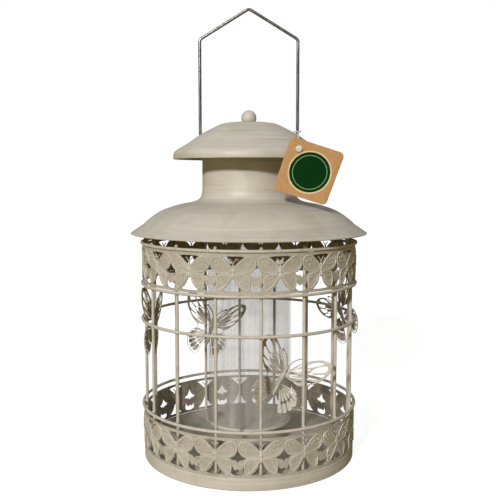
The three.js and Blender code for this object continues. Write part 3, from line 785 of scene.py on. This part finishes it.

# %% [markdown]
# ## The hoops
# A hoop is a length of the same wire rolled into a circle and butt welded. A circle of the wire's
# section is spun round the axis. At the back, where the weld is, the section is swollen a little.

# %% Hoops
HOOP_STEPS = 144
for node, level in HOOPS.items():
    deselect()
    bpy.ops.mesh.primitive_circle_add(
        vertices=12, radius=WIRE_RADIUS * MM, rotation=(math.pi / 2, 0, 0),
        location=(HOOP_CIRCLE * MM, 0, level * MM))
    hoop = settle(bpy.context.object)
    hoop.name = node.replace("ring", "hoop")
    open_mesh(hoop)
    bpy.ops.mesh.select_all(action="SELECT")
    bpy.ops.mesh.spin(steps=HOOP_STEPS, angle=math.tau, center=(0, 0, 0), axis=(0, 0, 1))
    close_mesh()
    tidy_mesh(hoop, 0.02)
    open_mesh(hoop)
    select_by(hoop, "verts", lambda v: v.co.y > 0 and abs(v.co.x) < 2.2 * MM)
    bpy.ops.transform.shrink_fatten(value=0.25 * MM)
    close_mesh()
    soften(hoop, 60)
    fit(hoop, "root", "cream_paint", wire_paint, node)
    print(hoop.name, triangles(hoop), "triangles at", level)

# %% [markdown]
# ## Drawing flat outlines
# The bands and the butterflies are stamped from sheet, so they start as flat drawings: an outer
# line with the holes inside it, filled and given its thickness. Corners are cut twice, which
# rounds them as a punch does without pushing the line out of its place. Raised lines are drawn
# the same way, with a round section that is half sunk in the sheet.

# %% Flat drawings
def eased(points, rounds=2, loop=True):
    """Round a line by cutting its corners, keeping the ends of an open one."""
    for _ in range(rounds):
        pairs = list(zip(points, points[1:] + points[:1])) if loop else list(
            zip(points, points[1:]))
        cut = []
        for a, b in pairs:
            cut.append(tuple(p + (q - p) * 0.25 for p, q in zip(a, b)))
            cut.append(tuple(p + (q - p) * 0.75 for p, q in zip(a, b)))
        if not loop:
            cut = [points[0], *cut[1:-1], points[-1]]
        points = cut
    return points


def drawn(name, lines, loop=True, **settings):
    """A curve of several lines, made a mesh."""
    deselect()
    bpy.ops.curve.primitive_bezier_circle_add()
    piece = bpy.context.object
    curve = piece.data
    curve.splines.clear()
    for points in lines:
        spline = curve.splines.new("POLY")
        spline.points.add(len(points) - 1)
        for knot, point in zip(spline.points, points):
            x, y, z = (*point, 0.0)[:3]
            knot.co = (x * MM, y * MM, z * MM, 1.0)
        spline.use_cyclic_u = loop
    for key_name, value in settings.items():
        setattr(curve, key_name, value)
    bpy.ops.object.convert(target="MESH")
    piece = bpy.context.object
    piece.name = name
    piece.data.name = name
    return piece


def stamped(name, outline, holes, thickness):
    """A flat sheet with holes."""
    piece = drawn(name, [outline, *holes], dimensions="2D", fill_mode="BOTH",
                  extrude=thickness / 2 * MM)
    return tidy_mesh(piece, 0.002)


def raised(name, lines, radius, height=0.0, loop=True, sides=1):
    """Round lines standing on the front of a sheet."""
    lifted = [[(x, y, height) for x, y in line] for line in lines]
    piece = drawn(name, lifted, loop, dimensions="3D", bevel_depth=radius * MM,
                  bevel_resolution=sides, use_fill_caps=not loop)
    return tidy_mesh(piece, 0.002)


def mirrored(points):
    return [(-x, y) for x, y in reversed(points)]


# %% [markdown]
# ## The butterfly bands
# Each band repeats one butterfly sixteen times. The drawing gives one butterfly, standing on the
# middle of its body, with the holes round it: a slot each side of the feelers, a flask under the
# tail, and a star and a smile between its wings and the next one's. The panel's two side edges
# run through solid metal, so the panels join without a mark. The embossing is drawn on top.

# %% Band drawing
BAND_HEIGHT = 28.9
BAND_MIDDLE = CAGE_RADIUS - SHEET / 2
PITCH = math.tau * BAND_MIDDLE / WIRE_COUNT
PANEL_EDGE = 10.0

FLASK = [(-8.4, 1.9), (8.4, 1.9), (5.2, 3.8), (2.4, 7.4), (0.9, 11.8), (-0.9, 11.8),
         (-2.4, 7.4), (-5.2, 3.8)]
HEAD = [(-8.6, 26.9), (8.6, 26.9), (6.4, 24.6), (3.6, 22.9), (1.0, 19.8), (-1.0, 19.8),
        (-3.6, 22.9), (-6.4, 24.6)]
STAR = [(-6.2, 14.6), (-2.6, 15.7), (-1.2, 18.8), (0, 24.6), (1.2, 18.8), (2.6, 15.7),
        (6.2, 14.6), (3.2, 12.6), (1.5, 13.2), (0, 10.8), (-1.5, 13.2), (-3.2, 12.6)]
SMILE = [(-3.0, 1.7), (3.0, 1.7), (5.5, 4.2), (5.3, 9.0), (3.9, 9.0), (3.2, 6.4), (1.6, 5.2),
         (0, 6.8), (-1.6, 5.2), (-3.2, 6.4), (-3.9, 9.0), (-5.3, 9.0), (-5.5, 4.2)]

FORE_RIM = [(1.3, 18.6), (3.6, 21.4), (7.2, 25.2), (11.6, 27.0), (15.4, 25.0), (16.1, 20.6),
            (13.9, 16.9), (9.6, 15.3), (4.6, 15.2), (1.3, 15.9)]
HIND_RIM = [(1.3, 14.6), (5.2, 14.3), (10.4, 13.2), (12.0, 9.6), (11.4, 5.2), (10.0, 2.4),
            (7.3, 4.3), (3.8, 8.2), (1.4, 12.0)]
FORE_VEINS = [[(2.2, 17.2), (8.5, 21.6), (13.2, 24.6)], [(2.2, 16.9), (9.0, 19.2), (14.9, 21.0)],
              [(2.2, 17.5), (6.2, 21.6), (10.0, 25.4)], [(2.4, 16.4), (8.0, 16.9), (12.8, 18.0)]]
HIND_VEINS = [[(2.0, 13.6), (6.0, 11.8), (10.6, 9.9)], [(2.0, 13.2), (5.6, 9.4), (9.9, 5.0)],
              [(2.2, 13.9), (6.2, 13.2), (10.4, 11.9)]]
DOTS = [(12.6, 22.6, 0.95), (10.9, 19.9, 0.7), (9.2, 23.2, 0.75), (13.8, 19.2, 0.7),
        (9.9, 7.4, 0.8), (8.8, 10.9, 0.7), (8.0, 6.2, 0.55)]
FEELER = [(0.1, 19.2), (0.2, 22.0), (1.2, 23.7), (2.7, 25.3)]
RIM_WIDTH = 0.72
INNER_RIM = 0.80
VEIN_WIDTH = 0.36

left_edge = PANEL_EDGE - PITCH
panel_outline = [(left_edge, 0), (PANEL_EDGE, 0), (PANEL_EDGE, BAND_HEIGHT),
                 (left_edge, BAND_HEIGHT)]
between = -PITCH / 2
holes = [eased(FLASK), eased(HEAD, 1)]
holes += [eased([(x + between, y) for x, y in shape]) for shape in (STAR, SMILE)]
panel = stamped("band_panel", panel_outline, holes, SHEET)
print("panel:", triangles(panel), "triangles, pitch", round(PITCH, 2), "mm")

# %% Band panel
BEND_STEP = 2.0
open_mesh(panel, "FACE")
select_by(panel, "faces", lambda f: abs(f.normal.x) > 0.99 and (
    abs(f.calc_center_median().x - left_edge * MM) < 0.01 * MM
    or abs(f.calc_center_median().x - PANEL_EDGE * MM) < 0.01 * MM))
bpy.ops.mesh.delete(type="FACE")
slices = round(PITCH / BEND_STEP)
for i in range(1, slices):
    bpy.ops.mesh.select_all(action="SELECT")
    cut_at = (left_edge + PITCH * i / slices) * MM
    bpy.ops.mesh.bisect(plane_co=(cut_at, 0, 0), plane_no=(1, 0, 0))
close_mesh()

face = SHEET / 2
rims = [eased(line) for line in (FORE_RIM, HIND_RIM)]
inner_rims = []
for line in rims:
    cx = sum(x for x, y in line) / len(line)
    cy = sum(y for x, y in line) / len(line)
    inner_rims.append([(cx + (x - cx) * INNER_RIM, cy + (y - cy) * INNER_RIM) for x, y in line])
veins = [eased(line, 1, False) for line in FORE_VEINS + HIND_VEINS]
relief = [
    raised("rims", rims + [mirrored(line) for line in rims], RIM_WIDTH, face),
    raised("inner_rims", inner_rims + [mirrored(line) for line in inner_rims], VEIN_WIDTH, face),
    raised("veins", veins + [mirrored(line) for line in veins], VEIN_WIDTH, face, False),
    raised("feelers", [eased(line, 1, False) for line in (FEELER, mirrored(FEELER))], 0.42,
           0.0, False),
]
for x, y, size in DOTS:
    for side in (1, -1):
        relief.append(bead(side * x, y, face, (size, size, size * 0.8)))
for y, across, along in ((19.2, 1.3, 1.3), (16.8, 1.7, 2.3), (13.4, 1.4, 2.8)):
    relief.append(bead(0, y, face, (across, along, 1.0)))
panel = join("band_panel", panel, *relief)
panel.rotation_euler.x = math.pi / 2
settle(panel)
print("panel with its embossing:", triangles(panel), "triangles")

# %% [markdown]
# ## Rolling the bands
# The strip of sixteen panels is exactly as long as the band's circle. A simple deform modifier
# rolls it up about the upright axis, as slip rolls do on the bench, and the two ends are merged.
# The second band is a copy, lifted to its own level and turned against the wires.

# %% Bands
modify(panel, "ARRAY", count=WIRE_COUNT, use_relative_offset=False, use_constant_offset=True,
       constant_offset_displace=(PITCH * MM, 0, 0), use_merge_vertices=True,
       merge_threshold=0.004 * MM)
length = panel.dimensions.x
modify(panel, "SIMPLE_DEFORM", deform_method="BEND", deform_axis="Z",
       angle=length / (BAND_MIDDLE * MM))
panel.location.y = -BAND_MIDDLE * MM
settle(panel)
open_mesh(panel)
bpy.ops.mesh.select_all(action="SELECT")
bpy.ops.mesh.remove_doubles(threshold=0.004 * MM)
close_mesh()
soften(panel, 40)
for node, phase in (("band_lower", WIRE_PHASE), ("band_upper", -7.5)):
    band = copy_of(panel, "butterfly_" + node)
    band.location.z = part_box(node)[0].z
    band.rotation_euler.z = math.radians(phase)
    fit(settle(band), "root", "cream_paint", band_paint, node)
discard(panel)

# %% [markdown]
# ## The butterfly ornaments
# Four larger butterflies are soldered to the cage. Each is a filigree stamping: a rim round each
# wing, and cells between veins that fan out from the wing's root. The cells are worked out from
# the rim, so the bars between them keep one width. The two wings of one side are one stamping,
# the other side is its mirror, and both are folded up a little from the round body. Each one
# stands off an upright: aside along its own plane, and out from the wires' or the hoops' face.

# %% Butterfly wings
WING = [(0.4, 4), (5, 13), (12, 21), (21, 27), (28.5, 27.5), (30, 22), (26.5, 13), (19, 5),
        (13, 0.5), (18.5, -6), (19.5, -14), (15, -21.5), (8, -24), (4.5, -15), (1.5, -9),
        (0.4, -5)]
FORE_ROOT = (1.2, 3.4)
HIND_ROOT = (0.8, -2.6)
FORE_FAN = (-8, 8, 21, 32.5, 43.5, 54, 65)
HIND_FAN = (7, -8, -21, -33.5, -46, -57.5, -69)
FORE_ROWS = ((0.18, 0.55), (0.60, 0.92))
HIND_ROWS = ((0.20, 0.57), (0.63, 0.91))
BAR = 0.42
WING_SHEET = 0.9
WING_EDGE = 0.18


def reach(root, degrees, outline):
    """How far it is from the root to the rim in one direction."""
    angle = math.radians(degrees)
    dx, dy = math.cos(angle), math.sin(angle)
    best = 0.0
    for (x0, y0), (x1, y1) in zip(outline, outline[1:] + outline[:1]):
        ex, ey = x1 - x0, y1 - y0
        across = dx * ey - dy * ex
        if abs(across) < 1e-9:
            continue
        along = ((x0 - root[0]) * ey - (y0 - root[1]) * ex) / across
        share = ((x0 - root[0]) * dy - (y0 - root[1]) * dx) / across
        if along > 0 and 0 <= share <= 1:
            best = along if best == 0 else min(best, along)
    return best


def cells(root, fan, rows, outline):
    """Open cells between neighbouring veins, each row between two shares of the reach."""
    made = []
    for first, second in zip(fan, fan[1:]):
        for near, far in rows:
            corners = []
            for degrees, other in ((first, second), (second, first)):
                for share in ((near, far) if degrees == first else (far, near)):
                    length = reach(root, degrees, outline) * share
                    turn = math.degrees(BAR / length) * (1 if other > degrees else -1)
                    angle = math.radians(degrees + turn)
                    corners.append((root[0] + length * math.cos(angle),
                                    root[1] + length * math.sin(angle)))
            middle = math.radians((first + second) / 2)
            top = reach(root, (first + second) / 2, outline) * far
            corners.insert(2, (root[0] + top * math.cos(middle),
                               root[1] + top * math.sin(middle)))
            made.append(eased(corners, 2))
    return made


rim = smooth_run(WING, 4)
openings = cells(FORE_ROOT, FORE_FAN, FORE_ROWS, rim) + cells(HIND_ROOT, HIND_FAN, HIND_ROWS, rim)
wing = drawn("wing", [rim, *openings], dimensions="2D", fill_mode="BOTH",
             extrude=(WING_SHEET / 2 - WING_EDGE) * MM, bevel_depth=WING_EDGE * MM,
             bevel_resolution=1, offset=-WING_EDGE * MM)
tidy_mesh(wing, 0.002)
print("wing:", triangles(wing), "triangles,", len(openings), "cells")

# %% Butterfly
BODY = [(0, -14), (0.9, -12.6), (1.35, -10.5), (1.5, -6), (1.35, -2), (1.9, 0), (2.1, 2.6),
        (1.7, 5.4), (1.1, 6.8), (1.7, 8.2), (1.8, 9.6), (1.2, 11.2), (0, 12)]
butterfly_body = spun("butterfly_body", BODY, 16)
butterfly_body.rotation_euler.x = -math.pi / 2
settle(butterfly_body)
FEELER_WIDTH = 0.42
KNOB_ASIDE = 8.4
KNOB_UP = 20.9
KNOB_SIZE = (0.9, 0.9, 0.9)
feelers = [[(0.7, 11), (2.4, 15.5), (5.2, 19.0), (8.2, 20.8)],
           [(-0.7, 11), (-2.4, 15.5), (-5.2, 19.0), (-8.2, 20.8)]]
antennae = raised("antennae", [eased(line, 2, False) for line in feelers], FEELER_WIDTH,
                  0.0, False)
knobs = [bead(side * KNOB_ASIDE, KNOB_UP, 0, KNOB_SIZE) for side in (1, -1)]


def wing_pair(fold):
    """Both sides' wings, folded up from the body."""
    pair = []
    for side in (1, -1):
        half = copy_of(wing, "wing_half")
        if side < 0:
            half.scale.x = -1
            settle(half)
            tidy_mesh(half, 0.002)
        half.rotation_euler.y = -side * math.radians(fold)
        pair.append(settle(half))
    return pair


HOOP_FACE = HOOP_CIRCLE + WIRE_RADIUS
WIRE_FACE = WIRE_CIRCLE - WIRE_RADIUS
BUTTERFLIES = {
    "butterfly_front": dict(angle=20, wire=1, aside=-12.1, out=-12.6, up=-35.9, face=WIRE_FACE,
                            roll=-27, turn=-14, fold=24),
    "butterfly_rear": dict(angle=-160, wire=9, aside=1.8, out=-20.0, up=-23.5, face=WIRE_FACE,
                           roll=16, turn=-14, fold=26),
    "butterfly_left": dict(angle=-88, wire=12, aside=-5.6, out=-4.4, up=-6.9, face=WIRE_FACE,
                           roll=12, turn=-11, fold=5),
    "butterfly_right": dict(angle=117, wire=5, aside=-2.0, out=3.1, up=-5.9, face=HOOP_FACE,
                            roll=-38, turn=0, fold=0),
}
for node, at in BUTTERFLIES.items():
    parts = wing_pair(at["fold"]) + [copy_of(butterfly_body, "body"), copy_of(antennae, "feelers")]
    parts += [copy_of(knob, "knob") for knob in knobs]
    fly = join(node.replace("butterfly", "ornament"), *parts)
    angle = math.radians(at["angle"])
    outwards = Matrix(((math.cos(angle), 0, math.sin(angle)),
                       (math.sin(angle), 0, -math.cos(angle)),
                       (0, 1, 0))).to_4x4()
    turn = Matrix.Rotation(math.radians(at["turn"]), 4, "Y")
    roll = Matrix.Rotation(math.radians(at["roll"]), 4, "Z")
    offset = Matrix.Translation(Vector((at["aside"], 0, at["face"] - WIRE_CIRCLE + at["out"])) * MM)
    place = Matrix.Translation(around(WIRE_CIRCLE, WIRE_PHASE + at["wire"] * 360 / WIRE_COUNT,
                                      HOOPS["ring_middle"] + at["up"]))
    fly.matrix_world = place @ outwards @ offset @ turn @ roll
    soften(settle(fly), 50)
    fit(fly, "root", "cream_paint", wing_paint, node)
    print(fly.name, triangles(fly), "triangles")
for spare in (wing, butterfly_body, antennae, *knobs):
    discard(spare)

# %% [markdown]
# ## The roof brackets
# Out of sight, two straps carry the roof on the uprights at its sides. Each is a strip of sheet
# bent to the slope under the roof and soldered to an upright. The strip is drawn as a line in
# side view, given its width by an extrude, and its thickness by solidify.

# %% Roof brackets
STRAP_WIDTH = 10.0
STRAP_THICKNESS = 1.0
STRAP_FACE = WIRE_CIRCLE - WIRE_RADIUS - GAP
STRAP_DROP = 1.9
for node, degrees in (("roof_bracket_right", WIRE_PHASE + 90),
                      ("roof_bracket_left", WIRE_PHASE - 90)):
    low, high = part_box(node)
    bends = [(r, level_on(dome, r) - STRAP_DROP) for r in (STRAP_FACE, 76, 70, 62)]
    run = rounded([(STRAP_FACE, low.z / MM), *bends], 1.5, 4)
    strap = point_at(run[0][0], -STRAP_WIDTH / 2, run[0][1], node.replace("bracket", "strap"))
    for (r0, z0), (r1, z1) in zip(run, run[1:]):
        bpy.ops.mesh.extrude_region_move(TRANSFORM_OT_translate={
            "value": ((r1 - r0) * MM, 0, (z1 - z0) * MM)})
    bpy.ops.mesh.select_all(action="SELECT")
    bpy.ops.mesh.extrude_region_move(TRANSFORM_OT_translate={"value": (0, STRAP_WIDTH * MM, 0)})
    close_mesh()
    settle(strap)
    tidy_mesh(strap)
    outward = sum(p.normal.x * p.area for p in strap.data.polygons)
    if outward < 0:
        open_mesh(strap)
        bpy.ops.mesh.select_all(action="SELECT")
        bpy.ops.mesh.flip_normals()
        close_mesh()
    modify(strap, "SOLIDIFY", thickness=STRAP_THICKNESS * MM, offset=-1, use_even_offset=True)
    modify(strap, "BEVEL", width=0.25 * MM, segments=2, limit_method="ANGLE",
           angle_limit=math.radians(50))
    strap.rotation_euler.z = math.radians(degrees - 90)
    soften(settle(strap))
    fit(strap, "root", "cream_paint", turned_paint, node)
print("straps: 2")

# %% [markdown]
# ## The lid and its finial
# The lid is a second spinning that sits over the neck and slides up the bail's legs. A flat
# crown falls in a long hollow slope to a short upright rim. The finial is a small turned ball on
# a threaded stud, held under the crown by a nut. The stud and the nut only show when the lid is
# up.

# %% Lid
LID_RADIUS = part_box("lid")[1].x / MM
LID_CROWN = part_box("lid")[1].z / MM
LID_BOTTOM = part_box("lid")[0].z / MM
STUD_HOLE = 2.2
BAIL_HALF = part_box("bail")[1].x / MM - WIRE_RADIUS
LEG_HOLE = 2.2

crown = rounded([(STUD_HOLE, LID_CROWN), (14, LID_CROWN - 0.5), (21.6, LID_CROWN - 1.5),
                 (31.0, 261.0)], 2.4)
slope = crown[:-1] + smooth_run([
    (24.6, 264.1), (31.0, 260.9), (38.4, 257.0), (44.5, 252.8), (49.8, 249.2), (55.0, 246.2),
    (58.9, 243.4), (LID_RADIUS, 241.0),
])
lid = pressed(spun("lid_spinning", slope + [(LID_RADIUS, 239.2), (LID_RADIUS, LID_BOTTOM)], 144))
for side in (1, -1):
    deselect()
    bpy.ops.mesh.primitive_cylinder_add(
        vertices=28, radius=LEG_HOLE * MM, depth=30 * MM,
        location=(side * BAIL_HALF * MM, 0, 257 * MM))
    cut_away(lid, settle(bpy.context.object))
soften(lid)
fit(lid, "lid", "cream_paint", turned_paint, "lid")
print("lid:", triangles(lid), "triangles")

# %% Finial and nut
BALL_RADIUS = 6.0
STUD_RADIUS = 1.9
low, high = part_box("finial_ball")
centre = high.z / MM - BALL_RADIUS
foot = LID_CROWN + GAP
start = -math.asin((centre - foot) / BALL_RADIUS)
ball = [(0, low.z / MM), (STUD_RADIUS - 0.4, low.z / MM), (STUD_RADIUS, low.z / MM + 0.5),
        (STUD_RADIUS, foot)]
arc_steps = 16
for i in range(arc_steps):
    a = start + (math.pi / 2 - start) * i / arc_steps
    ball.append((BALL_RADIUS * math.cos(a), centre + BALL_RADIUS * math.sin(a)))
ball.append((0, high.z / MM))
finial = soften(spun("finial_knob", ball, 48), 50)
fit(finial, "lid", "cream_paint", turned_paint, "finial_ball")

low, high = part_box("finial_nut")
deselect()
bpy.ops.mesh.primitive_cylinder_add(
    vertices=6, radius=7.0 / 2 / math.cos(math.pi / 6) * MM, depth=high.z - low.z,
    location=(0, 0, (high.z + low.z) / 2))
nut = settle(bpy.context.object)
nut.name = "hex_nut"
modify(nut, "BEVEL", width=0.35 * MM, segments=2, limit_method="ANGLE",
       angle_limit=math.radians(50))
deselect()
bpy.ops.mesh.primitive_cylinder_add(
    vertices=32, radius=2.2 * MM, depth=10 * MM, location=(0, 0, (high.z + low.z) / 2))
cut_away(nut, settle(bpy.context.object))
soften(nut, 30)
fit(nut, "lid", "zinc", zinc, "finial_nut")
print("finial:", triangles(finial), "triangles; nut:", triangles(nut))

# %% [markdown]
# ## The bail
# The bail is one length of bright wire, bent at five places: two short hooks turn in through the
# neck, the legs run straight up through the lid, and two slanting runs meet in the peak that
# hangs on the hook. It is drawn as a bent line with a round section.

# %% Bail
BAIL_SHOULDER = 331.0
BAIL_PEAK = 354.5
HOOK_REACH = 5.4


def bent(corners, bend, steps=6):
    """Round the inner corners of a run of 3D points."""
    points = [Vector(corners[0])]
    for before, corner, after in zip(corners, corners[1:], corners[2:]):
        here = Vector(corner)
        start = here + (Vector(before) - here).normalized() * bend
        end = here + (Vector(after) - here).normalized() * bend
        for i in range(steps + 1):
            t = i / steps
            points.append(start.lerp(here, t).lerp(here.lerp(end, t), t))
    points.append(Vector(corners[-1]))
    return points


hook = BAIL_HALF - HOOK_REACH
bail_line = bent([
    (-hook, 0, HOOK_LEVEL), (-BAIL_HALF, 0, HOOK_LEVEL), (-BAIL_HALF, 0, BAIL_SHOULDER),
    (0, 0, BAIL_PEAK), (BAIL_HALF, 0, BAIL_SHOULDER), (BAIL_HALF, 0, HOOK_LEVEL),
    (hook, 0, HOOK_LEVEL),
], 2.2)
bail = drawn("bail_wire", [[tuple(p) for p in bail_line]], False, dimensions="3D",
             bevel_depth=WIRE_RADIUS * MM, bevel_resolution=4, use_fill_caps=True)
tidy_mesh(bail, 0.002)
soften(bail, 50)
fit(bail, "bail", "bail_wire", steel, "bail")
print("bail:", triangles(bail), "triangles")

# %% [markdown]
# ## The swing tag
# The tag is a square of kraft card on a plastic fastener. It is drawn flat with its hole at the
# origin, because that is where it turns. It gets a map of its own before it is hung, so that the
# printed disc and the card's fibres follow it.

# %% Tag card
TAG_SIDE = 41.0
TAG_THICKNESS = 0.8
TAG_CORNER = 3.5
TAG_HOLE = (8.2, 6.7)
TAG_HOLE_RADIUS = 1.6
TAG_TURN = 18.0
TAG_LEAN = 14.0
TAG_PIN = (36.0, 244.0)
TAG_STANDOFF = 9.0
LABEL = (13.2, -14.2, 16.0)

left, top = -TAG_HOLE[0], TAG_HOLE[1]
right, bottom = left + TAG_SIDE, top - TAG_SIDE


def arc(cx, cy, radius, start, end, steps):
    return [(cx + radius * math.cos(math.radians(start + (end - start) * i / steps)),
             cy + radius * math.sin(math.radians(start + (end - start) * i / steps)))
            for i in range(steps + 1)]


card_outline = []
for cx, cy, turn_from in ((right - TAG_CORNER, top - TAG_CORNER, 0),
                          (left + TAG_CORNER, top - TAG_CORNER, 90),
                          (left + TAG_CORNER, bottom + TAG_CORNER, 180),
                          (right - TAG_CORNER, bottom + TAG_CORNER, 270)):
    card_outline += arc(cx, cy, TAG_CORNER, turn_from, turn_from + 90, 8)
card = stamped("swing_tag", card_outline, [arc(0, 0, TAG_HOLE_RADIUS, 0, 350, 35)], TAG_THICKNESS)
open_mesh(card)
for i in range(1, 12):
    for normal, place in (((1, 0, 0), (left + TAG_SIDE * i / 12, 0, 0)),
                          ((0, 1, 0), (0, bottom + TAG_SIDE * i / 12, 0))):
        bpy.ops.mesh.select_all(action="SELECT")
        bpy.ops.mesh.bisect(plane_co=Vector(place) * MM, plane_no=normal)
close_mesh()
card_map = card.data.uv_layers.new(name="card")
for loop in card.data.loops:
    point = card.data.vertices[loop.vertex_index].co
    card_map.data[loop.index].uv = ((point.x / MM - left) / TAG_SIDE,
                                    (point.y / MM - bottom) / TAG_SIDE)
modify(card, "BEVEL", width=0.2 * MM, segments=2, limit_method="ANGLE",
       angle_limit=math.radians(60))
print("card:", triangles(card), "triangles")

# %% Tag material
def kraft_card():
    """Brown card with fibres, and a plain green disc in a cream line on its front."""
    material, tree, shader = material_of("kraft_card")
    card_uv = add_node(tree, "ShaderNodeUVMap", uv_map="card").outputs[0]
    fibres = noise(tree, add_node(tree, "ShaderNodeMapping", {
        0: card_uv, 3: (60, 12, 1)}).outputs[0], 1.0, 8.0, 0.7)
    flecks = noise(tree, card_uv, 90.0, 5.0, 0.75)
    board = ramp(tree, fibres, [(0.3, colour(178, 134, 88)), (0.5, colour(198, 154, 106)),
                                (0.72, colour(212, 172, 126))])
    board = mixed_colour(tree, spread(tree, flecks, 0.6, 0.75, 0.0, 0.5), board,
                         colour(158, 108, 66))
    middle = ((LABEL[0] - left) / TAG_SIDE, (LABEL[1] - bottom) / TAG_SIDE, 0)
    centre_out = add_node(tree, "ShaderNodeVectorMath", {0: card_uv, 1: middle},
                          operation="SUBTRACT").outputs[0]
    away = add_node(tree, "ShaderNodeVectorMath", {0: centre_out},
                    operation="LENGTH").outputs["Value"]
    edge = LABEL[2] / TAG_SIDE
    line_width = 0.9 / TAG_SIDE
    soft = 0.004
    cream_line = spread(tree, away, edge + soft, edge)
    disc = spread(tree, away, edge - line_width, edge - line_width - soft)
    inner_line = sums(tree, "MULTIPLY",
                      spread(tree, away, edge * 0.80 + soft, edge * 0.80),
                      spread(tree, away, edge * 0.775 - soft, edge * 0.775))
    green = ramp(tree, flecks, [(0.3, colour(0, 46, 8)), (0.7, colour(0, 60, 18))])
    green = mixed_colour(tree, sums(tree, "MULTIPLY", inner_line, 0.75), green,
                         colour(150, 190, 150))
    print_colour = mixed_colour(tree, cream_line, board, colour(232, 214, 170))
    print_colour = mixed_colour(tree, disc, print_colour, green)
    front = add_node(tree, "ShaderNodeAttribute", attribute_name="front").outputs["Fac"]
    tree.links.new(mixed_colour(tree, front, board, print_colour), shader.inputs["Base Color"])
    tree.links.new(spread(tree, fibres, 0.3, 0.7, 0.95, 0.85), shader.inputs["Roughness"])
    shader.inputs["Specular IOR Level"].default_value = 0.15
    bump = add_node(tree, "ShaderNodeBump", {
        "Strength": 0.25, "Distance": 0.0003, "Height": fibres})
    tree.links.new(bump.outputs[0], shader.inputs["Normal"])
    return material


front = card.data.attributes.new("front", "FLOAT", "POINT")
for index, vertex in enumerate(card.data.vertices):
    front.data[index].value = 1.0 if vertex.co.z > 0 else 0.0

# %% Hanging the tag
pin = Vector((TAG_PIN[0], -math.sqrt(LID_RADIUS ** 2 - TAG_PIN[0] ** 2) - TAG_STANDOFF,
              TAG_PIN[1])) * MM
hang = (Matrix.Translation(pin) @ Matrix.Rotation(math.radians(90 + TAG_LEAN), 4, "X")
        @ Matrix.Rotation(-math.radians(TAG_TURN), 4, "Z"))
card.matrix_world = hang
settle(card)
soften(card, 30)
fit(card, "tag", "kraft_card", kraft_card(), "tag_card")

BUTTON_RADIUS = 2.5
BUTTON_THICKNESS = 1.4
FILAMENT_RADIUS = 0.5
EYE_RADIUS = 2.7
button_foot = TAG_THICKNESS / 2 + GAP
button = spun("button", rounded([
    (0, button_foot), (BUTTON_RADIUS, button_foot), (BUTTON_RADIUS, button_foot + 0.8),
    (1.6, button_foot + BUTTON_THICKNESS), (0, button_foot + BUTTON_THICKNESS)], 0.4), 32)
button.matrix_world = hang
settle(button)


SLOPE_STEPS = 4
RIM_LIFT = 4.2
EYE_LIFT = 0.8
eye_level = level_on(slope, BAIL_HALF - EYE_RADIUS - FILAMENT_RADIUS) + EYE_LIFT
front_point = tuple((hang @ (Vector((0, 0, button_foot + 0.5)) * MM)) / MM)
behind = tuple((hang @ (Vector((0, 0, -TAG_THICKNESS / 2 - 2)) * MM)) / MM)
aside = TAG_PIN[0] + 0.6
at_rim = Vector((aside, -math.sqrt((LID_RADIUS - 0.7) ** 2 - aside ** 2)))
at_eye = Vector((BAIL_HALF, -EYE_RADIUS))
over_lid = []
for i in range(SLOPE_STEPS + 1):
    here = at_rim.lerp(at_eye, i / SLOPE_STEPS)
    eye_lift = eye_level - level_on(slope, BAIL_HALF)
    lift = RIM_LIFT + (eye_lift - RIM_LIFT) * i / SLOPE_STEPS
    over_lid.append((here.x, here.y, level_on(slope, max(here.length, BAIL_HALF)) + lift))
route = smooth_run([front_point, behind, *over_lid], 6)
filament = drawn("filament", [route], False, dimensions="3D",
                 bevel_depth=FILAMENT_RADIUS * MM, bevel_resolution=2, use_fill_caps=True)
eye_line = [(BAIL_HALF + x, y, eye_level) for x, y in arc(0, 0, EYE_RADIUS, 0, 350, 35)]
eye = drawn("eye", [eye_line], True, dimensions="3D", bevel_depth=FILAMENT_RADIUS * MM,
            bevel_resolution=2)
for part in (filament, eye):
    tidy_mesh(part, 0.002)
fastener = join("tag_fastener", button, filament, eye)
soften(fastener, 50)
fit(fastener, "lid", "nylon", nylon, "tag_loop")
print("tag hung at", [round(v / MM, 1) for v in pin])
